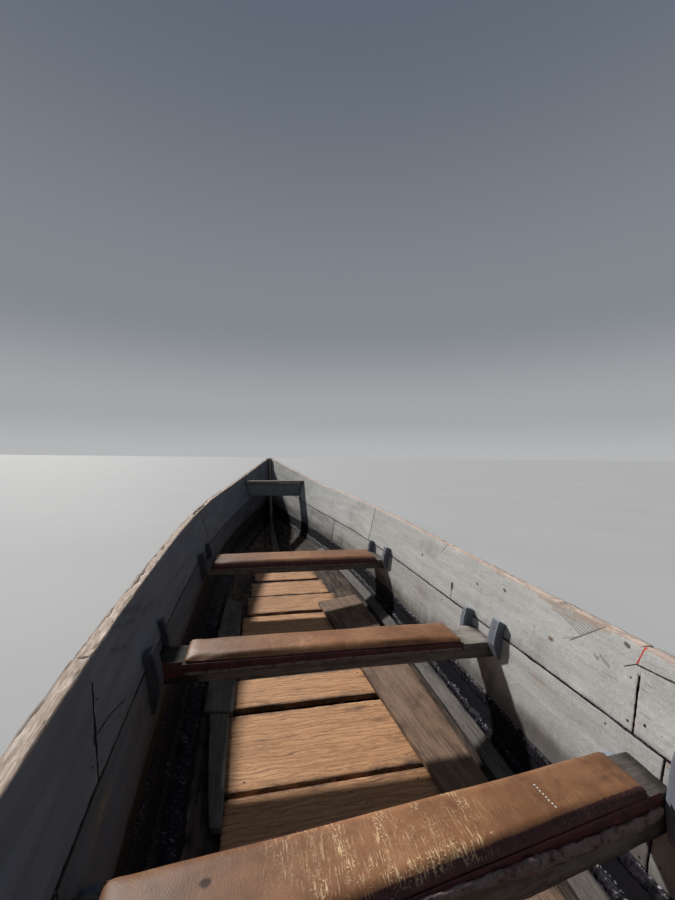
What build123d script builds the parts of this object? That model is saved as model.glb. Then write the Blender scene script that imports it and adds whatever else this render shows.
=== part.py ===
from build123d import *
import os
import math

os.makedirs("parts", exist_ok=True)

# ---------------------------------------------------------------------------
# Long wooden plank canoe, open, pointed bow, narrow transom stern.
# Millimetres. +X starboard, +Y to the bow, +Z up.
# Origin: on the waterline, on the centreline, at mid-length.
# ---------------------------------------------------------------------------

# --- driving dimensions ----------------------------------------------------
PLANK_T = 35.0          # side and bottom plank thickness
BUTT_GAP = 2.0          # open gap at a butt joint between two planks
KEEL_BAR_HALF = 28.0    # half width of the keel bar under the planks
KEEL_BAR_DEPTH = 62.0   # depth of the keel bar below the planks
TRANSOM_T = 40.0
STEM_NOSE = 72.0        # cutwater, forward of the plank ends
STEM_TONGUE = 60.0      # tongue between the plank ends

THWART_T = 54.0         # thwart plank thickness
PAD_T = 22.0            # padded top, above the thwart plank
LIP_T, LIP_H = 5.0, 28.0  # the cover's edge, over the faces of the plank

KNEE_TOP = 290.0        # head of the stern knee

FLOOR_TOP = -10.0       # top of the cross floor planks
FLOOR_T = 22.0
TIMBER_HALF = 30.0      # half the fore and aft size of a floor timber

# --- hull table, one row per station ---------------------------------------
# y: where the station meets the gunwale
# half_beam: inside face at the gunwale      sheer: height of the gunwale
# seam/chine/bilge: how far in from half_beam and down from the sheer each
#   inside plank seam lies       keel_half, keel_z: inside edge of the bottom
# lean: how far the station plane leans, mm of y for each mm up
HULL = [
    # y,    half_beam, sheer, seam_in, seam_dn, chine_in, chine_dn, bilge_in, bilge_dn, keel_half, keel_z, lean
    (-4250,   285,   595,    38,   130,    72,   350,   100,   432,    40,   -20, -0.15),
    (-3500,   365,   565,    41,   138,    78,   368,   108,   452,    40,   -72, -0.03),
    (-2700,   452,   542,    45,   147,    84,   386,   116,   472,    40,  -102,  0.00),
    (-1900,   530,   523,    49,   158,    88,   402,   122,   488,    40,  -118,  0.00),
    (-1100,   600,   515,    54,   177,    90,   412,   126,   497,    40,  -125,  0.00),
    ( -300,   630,   524,    60,   198,    92,   414,   128,   499,    40,  -126,  0.00),
    (  500,   626,   555,    66,   218,    96,   420,   133,   506,    40,  -122,  0.00),
    ( 1300,   585,   589,    70,   238,   100,   430,   142,   518,    40,  -114,  0.02),
    ( 2100,   500,   622,    70,   256,   104,   450,   152,   545,    38,  -100,  0.12),
    ( 2900,   366,   688,    62,   274,   104,   492,   150,   596,    34,   -72,  0.30),
    ( 3600,   192,   792,    38,   296,    70,   548,    98,   664,    26,   -10,  0.55),
    ( 4240,    22,   896,     1,   318,     2,   606,     3,   724,    14,    88,  0.79),
]
COLS = ["y", "half_beam", "sheer", "seam_in", "seam_dn", "chine_in", "chine_dn",
        "bilge_in", "bilge_dn", "keel_half", "keel_z", "lean"]

# --- where each strake is butted, aft to fore ------------------------------
STERN_Y, BOW_Y = HULL[0][0], HULL[-1][0]
# each joint: y at half the strake's depth, slant (mm of y for each mm up)
JOINTS = {                       # strake: (port joints), (starboard joints)
    "upper_strake": (((-1022, 0.68), (905, 0.10)), ((-1162, 0.13), (870, 0.20))),
    "lower_strake": (((-1290, 0.10), (1700, 0.15)), ((-1243, -0.05), (1700, 0.15))),
    "bilge_plank":  (((-1960, 0.00), (1930, 0.05)), ((-1990, 0.00), (1960, 0.05))),
    "bottom_plank": (((-1640, 0.00), (1370, 0.00)), ((-1660, 0.00), (1350, 0.00))),
}
PIECE_NAMES = ("_aft", "_middle", "_bow")

# --- thwarts ---------------------------------------------------------------
# name, y of its middle, fore and aft width, height of the padded top, slope
# (mm of y for each mm to starboard), pad from x, pad to x (None: no pad),
# plank thickness, taper (mm of width for each mm to starboard)
THWARTS = [
    ("stern",  -3620, 210, 390,  0.0000, None, None, THWART_T, 0.0),
    ("aft",    -2330, 150, 326,  0.0150, -368,  368, THWART_T, 0.0),
    ("near",   -1272.3, 142.6, 320, 0.1075, -490, 470, 80.0, -0.065),
    ("middle",  -548, 150, 320, -0.0300, -478,  444, THWART_T, 0.0),
    ("fore",     620, 235, 318, -0.0200, -500,  500, THWART_T, 0.0),
]
# cleats, side and fore (-1 or 1): how far it stands in, its fore and aft size,
# its foot and head, both measured from the top of the thwart plank
CLEATS = {(-1, -1): (34, 42, -62, 88), (1, -1): (34, 42, -44, 88),
          (-1, 1): (28, 27, -58, 90), (1, 1): (34, 27, -58, 74)}
OWN_CLEATS = {
    "middle": {(-1, -1): (31, 60, -92, 84), (1, -1): (30, 42, -42, 87),
               (-1, 1): (21, 27, -58, 91), (1, 1): (36, 27, -58, 63)},
    "near": {(-1, -1): (24, 42, -88, 88), (1, -1): (24, 42, -88, 88),
             (-1, 1): (30, 27, -96, -17), (1, 1): (30, 27, -96, -17)},
}
# a cleat that stands off from the edge of its plank
CLEAT_GAP = {("middle", -1, -1): 14.0}

# --- cross floor planks: y from, y to, x to port, x to starboard -----------
FLOOR_BAYS = {
    "floor_planks_aft": [(-3080, -2790, -215, 215), (-2782, -2470, -240, 240),
                         (-2410, -2120, -275, 275), (-2112, -1790, -290, 290),
                         (-1782, -1470, -305, 300)],
    "floor_planks_mid": [(-1460, -1192, -340, 276), (-1184, -742, -346, 272),
                         (-727, -385, -346, 262), (-345, -150, -340, 252)],
    "floor_planks_fore": [(-90, 220, -322, 300), (228, 520, -318, 304),
                          (560, 850, -306, 300), (858, 1150, -290, 286),
                          (1190, 1480, -262, 262), (1488, 1760, -232, 232)],
}
TIMBERS = [-3000, -2440, -1780, -1188, -736, -120, 540, 1170, 1720]

# --- long boards beside the cross planks, their inner edge on the planks ---
# name, side, then one row for each board: y from, y to, x of the inner edge at
# each end, gap from the bilge seam to the outer edge at each end, thickness
LONG_BOARDS = [
    ("floor_side_board_port",      -1, [(-848, -398, 341, 343, 112, 86, 20), (-388, 700, 333, 322, 66, 70, 20)]),
    ("floor_side_board_starboard",  1, [(-1330, 640, 292, 150, 88, 88, 20)]),
]
# batten on the bottom planks along the bilge seam: distance down the bottom
# from the seam to each edge, thickness
BATTENS = [
    ("bilge_batten_starboard",  1, -3300, 1800, 8, 64, 26),
]
# pitch over the two low seams: how far it reaches up and down from the seam
CAULK_T = 7.0
CAULK = {(-1, 2): (14, 20), (-1, 3): (32, 56), (1, 2): (14, 20), (1, 3): (32, 7)}


# --- hull sections ---------------------------------------------------------
def slope_at(col, i):
    """Slope of one column at row i, from its neighbours."""
    y0, y1 = HULL[max(i - 1, 0)][0], HULL[min(i + 1, len(HULL) - 1)][0]
    v0, v1 = HULL[max(i - 1, 0)][col], HULL[min(i + 1, len(HULL) - 1)][col]
    return (v1 - v0) / (y1 - y0)


def smooth(name, y):
    """A column's value at y, along one smooth curve through the table."""
    col = COLS.index(name)
    i = 0
    while i < len(HULL) - 2 and y > HULL[i + 1][0]:
        i += 1
    a, b = HULL[i], HULL[i + 1]
    h = b[0] - a[0]
    t = (y - a[0]) / h
    m0, m1 = slope_at(col, i) * h, slope_at(col, i + 1) * h
    return ((2 * t**3 - 3 * t**2 + 1) * a[col] + (t**3 - 2 * t**2 + t) * m0
            + (3 * t**2 - 2 * t**3) * b[col] + (t**3 - t**2) * m1)


GRID = [-4250 + 350 * k for k in range(20)] + [2650, 2900, 3150, 3400, 3620, 3830, 4040, 4240]
ROWS = {name: [smooth(name, y) for y in GRID] for name in COLS[1:]}


def column(name, y):
    """A column's value at y, straight between the stations of the grid."""
    i = 0
    while i < len(GRID) - 2 and y > GRID[i + 1]:
        i += 1
    t = (y - GRID[i]) / (GRID[i + 1] - GRID[i])
    return ROWS[name][i] + (ROWS[name][i + 1] - ROWS[name][i]) * t


def inner_line(y):
    """Inside points of half a section, gunwale to keel, as (x, z)."""
    b, s = column("half_beam", y), column("sheer", y)
    return [(b, s),
            (b - column("seam_in", y), s - column("seam_dn", y)),
            (b - column("chine_in", y), s - column("chine_dn", y)),
            (b - column("bilge_in", y), s - column("bilge_dn", y)),
            (column("keel_half", y), column("keel_z", y))]


def outward(p, q):
    """Unit normal of a section line from p down to q, away from the boat."""
    dx, dz = q[0] - p[0], q[1] - p[1]
    n = math.hypot(dx, dz)
    return (-dz / n, dx / n)


def meet(p, d, q, e):
    """Where the line from p along d meets the line from q along e."""
    det = d[0] * (-e[1]) + e[0] * d[1]
    t = ((q[0] - p[0]) * (-e[1]) + e[0] * (q[1] - p[1])) / det
    return (p[0] + d[0] * t, p[1] + d[1] * t)


def outer_line(y, t=PLANK_T):
    """Outside points that match inner_line, mitred at the seams."""
    ins = inner_line(y)
    segs = []
    for p, q in zip(ins[:-1], ins[1:]):
        n = outward(p, q)
        segs.append(((p[0] + n[0] * t, p[1] + n[1] * t), (q[0] - p[0], q[1] - p[1]), n))
    out = [meet(segs[0][0], segs[0][1], ins[0], (1.0, 0.0))]
    for a, b in zip(segs[:-1], segs[1:]):
        out.append(meet(a[0], a[1], b[0], b[1]))
    n = segs[-1][2]
    out.append((ins[-1][0] + n[0] * t, ins[-1][1] + n[1] * t))
    return out


def place(y, x, z, side=1):
    """A section point as a point in space, on the leaning station plane."""
    return Vector(side * x, y + column("lean", y) * (z - column("sheer", y)), z)


def station_ys(y0, y1):
    """The grid's stations between y0 and y1, with both ends."""
    return [y0] + [g for g in GRID if y0 + 0.5 < g < y1 - 0.5] + [y1]


def loft_rings(rings):
    """One closed solid through rings of corner points, straight between them."""
    return Solid.make_loft([Wire.make_polygon(r, close=True) for r in rings], ruled=True)


def strake(index, side, y0, y1):
    """A plank between seam lines index and index + 1 of the section."""
    rings = []
    for y in station_ys(y0, y1):
        a, b = inner_line(y), outer_line(y)
        rings.append([place(y, *p, side) for p in (a[index], b[index], b[index + 1], a[index + 1])])
    return loft_rings(rings)


def hull_x(y, z):
    """Inside half breadth at a point's y and z."""
    y0 = y
    for _ in range(12):
        y0 = y - column("lean", y0) * (z - column("sheer", y0))
    pts = inner_line(y0)
    for p, q in zip(pts[:-1], pts[1:]):
        if q[1] <= z <= p[1]:
            t = (z - p[1]) / (q[1] - p[1])
            return p[0] + (q[0] - p[0]) * t
    return pts[0][0] if z > pts[0][1] else pts[-1][0]


def bottom_z(x, y):
    """Height of the inside of the bottom at x, y."""
    (lx, lz), (kx, kz) = inner_line(y)[3], inner_line(y)[4]
    return kz + max(0.0, x - kx) * (lz - kz) / (lx - kx)


def bottom_reach(y, z):
    """Half breadth of the inside of the bottom at height z."""
    (lx, lz), (kx, kz) = inner_line(y)[3], inner_line(y)[4]
    return kx + (z - kz) * (lx - kx) / (lz - kz)


parts = {}

# --- planking --------------------------------------------------------------
def butt_cut(index, y, slant):
    """The thin slanted slot between two lengths of a strake."""
    pts = inner_line(y)
    z = (pts[index][1] + pts[index + 1][1]) / 2
    return Pos(0, y, z) * Rot(X=-math.degrees(math.atan(slant))) * Box(2000, BUTT_GAP, 900)


for index, name in enumerate(["upper_strake", "lower_strake", "bilge_plank", "bottom_plank"]):
    for side, word, cuts in ((-1, "port", JOINTS[name][0]), (1, "starboard", JOINTS[name][1])):
        plank = Part() + strake(index, side, STERN_Y, BOW_Y)
        for y, slant in cuts:
            plank = plank - butt_cut(index, y, slant)
        lengths = sorted(plank.solids(), key=lambda p: p.center().Y)
        for solid, tail in zip(lengths, PIECE_NAMES):
            parts[f"{name}_{word}{tail}"] = solid

# --- keel, stem, transom, stern knee ---------------------------------------
rings = []
for y in station_ys(STERN_Y, BOW_Y):
    (kx, kz), (ox, oz) = inner_line(y)[-1], outer_line(y)[-1]
    bar = min(KEEL_BAR_HALF, ox)
    low = oz - KEEL_BAR_DEPTH
    half = [(kx, kz), (ox, oz), (bar, oz - 1.0), (bar - 4.0, low)]
    rings.append([place(y, *p) for p in half] + [place(y, *p, -1) for p in reversed(half)])
parts["keel"] = loft_rings(rings)

bow_lean, bow_sheer = column("lean", BOW_Y), column("sheer", BOW_Y)


def stem_y(z):
    return BOW_Y + bow_lean * (z - bow_sheer)


def stem_ring(z, outline):
    return [Vector(x, stem_y(z) + dy, z) for x, dy in outline]


nose_outline = [(-56, 0.0), (56, 0.0), (15, STEM_NOSE), (-15, STEM_NOSE)]
tongue_outline = [(-12, -STEM_TONGUE), (12, -STEM_TONGUE), (12, 2.0), (-12, 2.0)]
stem_low = inner_line(BOW_Y)[-1][1] - KEEL_BAR_DEPTH
stem = loft_rings([stem_ring(z, nose_outline) for z in (stem_low, bow_sheer + 3.0)])
tongue = loft_rings([stem_ring(z, tongue_outline) for z in (inner_line(BOW_Y)[-1][1] + 8.0, bow_sheer + 3.0)])
parts["stem_post"] = (Part() + stem + tongue).solids()[0]

rings = []
for y in (STERN_Y, STERN_Y + TRANSOM_T):
    half = [(x - 0.2, z) for x, z in inner_line(y)]
    half[-1] = (half[-1][0], half[-1][1] + 0.2)
    rings.append([place(y, *p) for p in half] + [place(y, *p, -1) for p in reversed(half)])
parts["transom"] = loft_rings(rings)

knee_y = STERN_Y + TRANSOM_T
knee_lean = column("lean", knee_y)
knee_base = column("keel_z", knee_y + 160) + 0.5
knee_foot = knee_y + knee_lean * (knee_base + 12 - column("sheer", knee_y)) + 1.0
knee_top = knee_y + knee_lean * (KNEE_TOP - column("sheer", knee_y)) + 1.0
knee = Polyline((0, knee_foot, knee_base + 12), (0, knee_foot + 250, knee_base - 6), (0, knee_foot + 250, knee_base + 26),
                (0, knee_foot + 60, knee_base + 90), (0, knee_top + 34, KNEE_TOP), (0, knee_top, KNEE_TOP), close=True)
parts["stern_knee"] = extrude(make_face(knee), amount=22, dir=(1, 0, 0), both=True).solids()[0]


# --- thwarts, their pads and cleats ----------------------------------------
def thwart_block(y_mid, width, slope, z_low, z_high, x0=None, x1=None, ease=0.4, taper=0.0):
    """A block across the boat between two heights, cut to the sides or to x0, x1."""
    rings = []
    for end in (-1, 1):
        ring = []
        seam = column("sheer", y_mid) - column("seam_dn", y_mid)
        z_mid = min(max(seam, z_low + 4.0), z_high - 4.0)
        for z, side in ((z_high, -1), (z_high, 1), (z_mid, 1), (z_low, 1), (z_low, -1), (z_mid, -1)):
            limit = x0 if side < 0 else x1
            x = side * 400.0
            for _ in range(6):
                y = y_mid + slope * x + end * (width + taper * x) / 2
                x = limit if limit is not None else side * (hull_x(y, z) - ease)
            ring.append(Vector(x, y_mid + slope * x + end * (width + taper * x) / 2, z))
        rings.append(ring)
    return loft_rings(rings)


def cleat(y_mid, side, depth, size_y, z_low, z_high):
    """A nailed vertical cleat on the inside of a side: its foot is cut away, its head slopes to the side."""
    span = z_high - z_low
    seam = (column("sheer", y_mid) - column("seam_dn", y_mid) - z_low) / span
    profile = [(0.0, 0.0), (0.35, 0.02), (1.0, 0.36), (1.0, 0.98), (0.85, 1.0), (0.0, 0.89)]
    if 0.004 < seam < 0.87:
        profile.append((0.0, seam))
    rings = []
    for dy in (-size_y / 2, size_y / 2):
        ring = []
        for u, v in profile:
            z = z_low + span * v
            ring.append(Vector(side * (hull_x(y_mid + dy, z) - 0.5 - u * depth), y_mid + dy, z))
        rings.append(ring)
    return loft_rings(rings)


for name, y_mid, width, top, slope, pad_x0, pad_x1, thick, taper in THWARTS:
    plank_top = top - (PAD_T if pad_x0 is not None else 0)
    parts[f"thwart_{name}"] = thwart_block(y_mid, width, slope, plank_top - thick, plank_top, taper=taper)
    if pad_x0 is not None:
        cover = thwart_block(y_mid, width + 2 * LIP_T, slope, plank_top + 0.2, top, pad_x0, pad_x1, taper=taper)
        lip_y = width / 2 + 0.3 + (LIP_T - 0.3) / 2
        for fore in (-1, 1):
            cover = cover + thwart_block(y_mid + fore * lip_y, LIP_T - 0.3, slope + fore * taper / 2,
                                         plank_top - LIP_H, plank_top + 4, pad_x0, pad_x1)
        parts[f"seat_pad_{name}"] = cover.solids()[0]
    cleats = []
    for side in (-1, 1):
        for fore in (-1, 1):
            depth, size_y, low, high = OWN_CLEATS.get(name, CLEATS)[side, fore]
            x_side = side * (hull_x(y_mid, plank_top) - depth / 2)
            reach = abs(slope + fore * taper / 2) * (depth / 2 + 20) + 0.4
            y_cleat = y_mid + slope * x_side + fore * ((width + taper * x_side) / 2 + size_y / 2 + reach
                                                     + CLEAT_GAP.get((name, side, fore), 0.0))
            cleats.append(cleat(y_cleat, side, depth, size_y, plank_top + low, plank_top + high))
    parts[f"thwart_cleats_{name}"] = Compound(children=cleats)

# --- bow thwart and the board under it -------------------------------------
parts["bow_thwart"] = thwart_block(2965, 130, 0.0, 608, 640, ease=2.0)
parts["bow_board"] = thwart_block(2925, 26, 0.0, 458, 607.6, ease=2.5)

# --- floor -----------------------------------------------------------------
for name, planks in FLOOR_BAYS.items():
    solids = []
    for y0, y1, x0, x1 in planks:
        low = min(bottom_reach(y, FLOOR_TOP - FLOOR_T) for y in (y0, y1)) - 5.0
        high = min(bottom_reach(y, FLOOR_TOP) for y in (y0, y1)) - 10.0
        ring = [(max(x0, -high), FLOOR_TOP), (min(x1, high), FLOOR_TOP),
                (min(x1, low), FLOOR_TOP - FLOOR_T), (max(x0, -low), FLOOR_TOP - FLOOR_T)]
        solids.append(loft_rings([[Vector(x, y, z) for x, z in ring] for y in (y0, y1)]))
    parts[name] = Compound(children=solids)

timbers = []
for y_mid in TIMBERS:
    rings = []
    for y in (y_mid - TIMBER_HALF, y_mid + TIMBER_HALF):
        top = FLOOR_TOP - FLOOR_T - 0.3
        kx, kz = inner_line(y)[4]
        half = [(bottom_reach(y, top) - 5.0, top), (kx + 1.0, kz + 1.8)]
        rings.append([Vector(x, y, z) for x, z in half] + [Vector(-x, y, z) for x, z in reversed(half)])
    timbers.append(loft_rings(rings))
parts["floor_timbers"] = Compound(children=timbers)


def on_line(p, q, s):
    """The point s along the line from p to q."""
    n = math.hypot(q[0] - p[0], q[1] - p[1])
    return (p[0] + (q[0] - p[0]) * s / n, p[1] + (q[1] - p[1]) * s / n)


for name, side, boards in LONG_BOARDS:
    solids = []
    for y0, y1, in0, in1, gap0, gap1, thick in boards:
        rings = []
        for y in station_ys(y0, y1):
            t = (y - y0) / (y1 - y0)
            x_in = in0 + (in1 - in0) * t
            x_out = inner_line(y)[3][0] - (gap0 + (gap1 - gap0) * t)
            z_in = max(FLOOR_TOP + 0.3, bottom_z(x_in, y) + 1.0)
            z_out = max(bottom_z(x_out, y), FLOOR_TOP) + 2.5
            ring = [(x_in, z_in), (x_out, z_out), (x_out, z_out + thick), (x_in, z_in + thick)]
            rings.append([Vector(side * x, y, z) for x, z in ring])
        solids.append(loft_rings(rings))
    parts[name] = solids[0] if len(solids) == 1 else Compound(children=solids)

for name, side, y0, y1, s0, s1, thick in BATTENS:
    rings = []
    for y in station_ys(y0, y1):
        low, keel_edge = inner_line(y)[3], inner_line(y)[4]
        n = outward(low, keel_edge)
        a, b = on_line(low, keel_edge, s0), on_line(low, keel_edge, s1)
        ring = [(a[0] - n[0] * e, a[1] - n[1] * e) for e in (0.4, thick)]
        ring += [(b[0] - n[0] * e, b[1] - n[1] * e) for e in (thick, 0.4)]
        rings.append([place(y, *p, side) for p in ring])
    parts[name] = loft_rings(rings)

# --- tarred caulking along the two low seams, inside -----------------------
for side, word in ((-1, "port"), (1, "starboard")):
    strips = []
    for index in (2, 3):
        rings = []
        for y in station_ys(-4150, 3350):
            pts = inner_line(y)
            up, mid, down = pts[index - 1], pts[index], pts[index + 1]
            n1, n2 = outward(up, mid), outward(mid, down)
            reach_up, reach_down = CAULK[side, index]
            a, b = on_line(mid, up, reach_up), on_line(mid, down, reach_down)
            m = (n1[0] + n2[0], n1[1] + n2[1])
            f = CAULK_T / ((m[0] * n1[0] + m[1] * n1[1]))
            ring = [(a[0] - n1[0] * 0.3, a[1] - n1[1] * 0.3), (a[0] - n1[0] * CAULK_T, a[1] - n1[1] * CAULK_T),
                    (mid[0] - m[0] * f, mid[1] - m[1] * f),
                    (b[0] - n2[0] * CAULK_T, b[1] - n2[1] * CAULK_T), (b[0] - n2[0] * 0.3, b[1] - n2[1] * 0.3),
                    (mid[0] - m[0] * f * 0.3 / CAULK_T, mid[1] - m[1] * f * 0.3 / CAULK_T)]
            rings.append([place(y, *p, side) for p in ring])
        strips.append(loft_rings(rings))
    parts[f"seam_caulking_{word}"] = Compound(children=strips)

for name, shape in parts.items():
    shape.label = name
    export_step(shape, f"parts/{name}.step")
print(len(parts), "nodes")
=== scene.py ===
import bpy
import math
import numpy as np
from mathutils import Vector, Matrix
from mathutils.bvhtree import BVHTree


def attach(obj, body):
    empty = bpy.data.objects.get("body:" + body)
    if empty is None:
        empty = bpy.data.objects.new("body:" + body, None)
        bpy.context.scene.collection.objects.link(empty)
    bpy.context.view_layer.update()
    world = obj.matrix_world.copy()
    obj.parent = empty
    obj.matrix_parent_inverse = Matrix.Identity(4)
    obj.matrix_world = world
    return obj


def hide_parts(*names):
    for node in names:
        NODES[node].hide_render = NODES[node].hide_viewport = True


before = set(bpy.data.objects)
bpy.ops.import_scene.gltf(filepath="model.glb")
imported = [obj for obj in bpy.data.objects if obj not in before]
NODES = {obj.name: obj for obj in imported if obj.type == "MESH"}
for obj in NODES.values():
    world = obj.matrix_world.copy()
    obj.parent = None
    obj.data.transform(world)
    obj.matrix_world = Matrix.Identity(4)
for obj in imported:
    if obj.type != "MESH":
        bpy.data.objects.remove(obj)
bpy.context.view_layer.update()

# ---------------------------------------------------------------------------
# The boat's own tables, as in the solids: millimetres, +X starboard, +Y bow,
# +Z up, origin on the waterline.
# ---------------------------------------------------------------------------
PLANK_T = 35.0
BUTT_GAP = 2.0
THWART_T, PAD_T, LIP_T = 54.0, 22.0, 5.0
FLOOR_TOP, FLOOR_T = -10.0, 22.0
CAULK_T = 7.0
CAULK = {(-1, 2): (14, 20), (-1, 3): (32, 56), (1, 2): (14, 20), (1, 3): (32, 7)}

HULL = [
    (-4250, 285, 595, 38, 130, 72, 350, 100, 432, 40, -20, -0.15),
    (-3500, 365, 565, 41, 138, 78, 368, 108, 452, 40, -72, -0.03),
    (-2700, 452, 542, 45, 147, 84, 386, 116, 472, 40, -102, 0.00),
    (-1900, 530, 523, 49, 158, 88, 402, 122, 488, 40, -118, 0.00),
    (-1100, 600, 515, 54, 177, 90, 412, 126, 497, 40, -125, 0.00),
    (-300, 630, 524, 60, 198, 92, 414, 128, 499, 40, -126, 0.00),
    (500, 626, 555, 66, 218, 96, 420, 133, 506, 40, -122, 0.00),
    (1300, 585, 589, 70, 238, 100, 430, 142, 518, 40, -114, 0.02),
    (2100, 500, 622, 70, 256, 104, 450, 152, 545, 38, -100, 0.12),
    (2900, 366, 688, 62, 274, 104, 492, 150, 596, 34, -72, 0.30),
    (3600, 192, 792, 38, 296, 70, 548, 98, 664, 26, -10, 0.55),
    (4240, 22, 896, 1, 318, 2, 606, 3, 724, 14, 88, 0.79),
]
COLS = ["y", "half_beam", "sheer", "seam_in", "seam_dn", "chine_in", "chine_dn",
        "bilge_in", "bilge_dn", "keel_half", "keel_z", "lean"]
STERN_Y, BOW_Y = -4250.0, 4240.0
JOINTS = {
    "upper_strake": (((-1022, 0.68), (905, 0.10)), ((-1162, 0.13), (870, 0.20))),
    "lower_strake": (((-1290, 0.10), (1700, 0.15)), ((-1243, -0.05), (1700, 0.15))),
    "bilge_plank": (((-1960, 0.00), (1930, 0.05)), ((-1990, 0.00), (1960, 0.05))),
    "bottom_plank": (((-1640, 0.00), (1370, 0.00)), ((-1660, 0.00), (1350, 0.00))),
}
TAILS = ("_aft", "_middle", "_bow")
THWARTS = [
    ("stern", -3620, 210, 390, 0.0, None, None, THWART_T, 0.0),
    ("aft", -2330, 150, 326, 0.015, -368, 368, THWART_T, 0.0),
    ("near", -1272.3, 142.6, 320, 0.1075, -490, 470, 80.0, -0.065),
    ("middle", -548, 150, 320, -0.030, -478, 444, THWART_T, 0.0),
    ("fore", 620, 235, 318, -0.020, -500, 500, THWART_T, 0.0),
]
CLEATS = {(-1, -1): (34, 42, -62, 88), (1, -1): (34, 42, -44, 88),
          (-1, 1): (28, 27, -58, 90), (1, 1): (34, 27, -58, 74)}
OWN_CLEATS = {
    "middle": {(-1, -1): (31, 60, -92, 84), (1, -1): (30, 42, -42, 87),
               (-1, 1): (21, 27, -58, 91), (1, 1): (36, 27, -58, 63)},
    "near": {(-1, -1): (24, 42, -88, 88), (1, -1): (24, 42, -88, 88),
             (-1, 1): (30, 27, -96, -17), (1, 1): (30, 27, -96, -17)},
}
CLEAT_GAP = {("middle", -1, -1): 14.0}
FLOOR_BAYS = {
    "floor_planks_aft": [(-3080, -2790, -215, 215), (-2782, -2470, -240, 240),
                         (-2410, -2120, -275, 275), (-2112, -1790, -290, 290),
                         (-1782, -1470, -305, 300)],
    "floor_planks_mid": [(-1460, -1192, -340, 276), (-1184, -742, -346, 272),
                         (-727, -385, -346, 262), (-345, -150, -340, 252)],
    "floor_planks_fore": [(-90, 220, -322, 300), (228, 520, -318, 304),
                          (560, 850, -306, 300), (858, 1150, -290, 286),
                          (1190, 1480, -262, 262), (1488, 1760, -232, 232)],
}
LONG_BOARDS = [
    ("floor_side_board_port", -1, [(-848, -398, 341, 343, 112, 86, 20), (-388, 700, 333, 322, 66, 70, 20)]),
    ("floor_side_board_starboard", 1, [(-1330, 640, 292, 150, 88, 88, 20)]),
]
BATTENS = [
    ("bilge_batten_starboard", 1, -3300, 1800, 8, 64, 26),
]


def slope_at(c, i):
    y0, y1 = HULL[max(i - 1, 0)][0], HULL[min(i + 1, len(HULL) - 1)][0]
    v0, v1 = HULL[max(i - 1, 0)][c], HULL[min(i + 1, len(HULL) - 1)][c]
    return (v1 - v0) / (y1 - y0)


def smooth_value(name, y):
    c = COLS.index(name)
    i = 0
    while i < len(HULL) - 2 and y > HULL[i + 1][0]:
        i += 1
    a, b = HULL[i], HULL[i + 1]
    h = b[0] - a[0]
    t = (y - a[0]) / h
    m0, m1 = slope_at(c, i) * h, slope_at(c, i + 1) * h
    return ((2 * t**3 - 3 * t**2 + 1) * a[c] + (t**3 - 2 * t**2 + t) * m0
            + (3 * t**2 - 2 * t**3) * b[c] + (t**3 - t**2) * m1)


GRID = np.array([-4250 + 350 * k for k in range(20)] + [2650, 2900, 3150, 3400, 3620, 3830, 4040, 4240], float)
ROWS = {n: np.array([smooth_value(n, y) for y in GRID]) for n in COLS[1:]}


def col(name, y):
    return np.interp(y, GRID, ROWS[name])


def inner_line(y):
    """Inside points of half a section, gunwale to keel: (..., 5, 2) as x, z."""
    y = np.asarray(y, float)
    b, s = col("half_beam", y), col("sheer", y)
    xs = [b, b - col("seam_in", y), b - col("chine_in", y), b - col("bilge_in", y), col("keel_half", y)]
    zs = [s, s - col("seam_dn", y), s - col("chine_dn", y), s - col("bilge_dn", y), col("keel_z", y)]
    return np.stack([np.stack(xs, -1), np.stack(zs, -1)], -1)


def normals_out(pts):
    d = pts[..., 1:, :] - pts[..., :-1, :]
    n = np.stack([-d[..., 1], d[..., 0]], -1)
    return n / np.linalg.norm(n, axis=-1, keepdims=True)


def outer_line(y, t=PLANK_T):
    """Outside points that match inner_line, mitred at the seams."""
    p = inner_line(y)
    d = p[..., 1:, :] - p[..., :-1, :]
    n = normals_out(p)
    out = np.zeros_like(p)
    q = p[..., :-1, :] + n * t
    # gunwale: along the first line, at the sheer's height
    k = (p[..., 0, 1] - q[..., 0, 1]) / d[..., 0, 1]
    out[..., 0, :] = q[..., 0, :] + d[..., 0, :] * k[..., None]
    for i in range(1, 4):
        m = n[..., i - 1, :] + n[..., i, :]
        dot = np.sum(m * n[..., i, :], -1, keepdims=True)
        out[..., i, :] = p[..., i, :] + m * t / dot
    out[..., 4, :] = p[..., 4, :] + n[..., 3, :] * t
    return out


def place(y, x, z, side):
    """Section point to metres on the leaning station plane."""
    return np.stack([side * x, y + col("lean", y) * (z - col("sheer", y)), z], -1) / 1000.0


def hull_x(y, z):
    """Inside half breadth at y, z."""
    y, z = np.broadcast_arrays(np.asarray(y, float), np.asarray(z, float))
    y0 = y.copy()
    for _ in range(10):
        y0 = y - col("lean", y0) * (z - col("sheer", y0))
    p = inner_line(y0)
    x = np.where(z > p[..., 0, 1], p[..., 0, 0], p[..., 4, 0])
    for i in range(4):
        a, b = p[..., i, :], p[..., i + 1, :]
        t = (z - a[..., 1]) / (b[..., 1] - a[..., 1])
        inside = (z <= a[..., 1]) & (z >= b[..., 1])
        x = np.where(inside, a[..., 0] + (b[..., 0] - a[..., 0]) * t, x)
    return x


def bottom_z(x, y):
    p = inner_line(y)
    lx, lz, kx, kz = p[..., 3, 0], p[..., 3, 1], p[..., 4, 0], p[..., 4, 1]
    return kz + np.maximum(0.0, x - kx) * (lz - kz) / (lx - kx)


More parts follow.
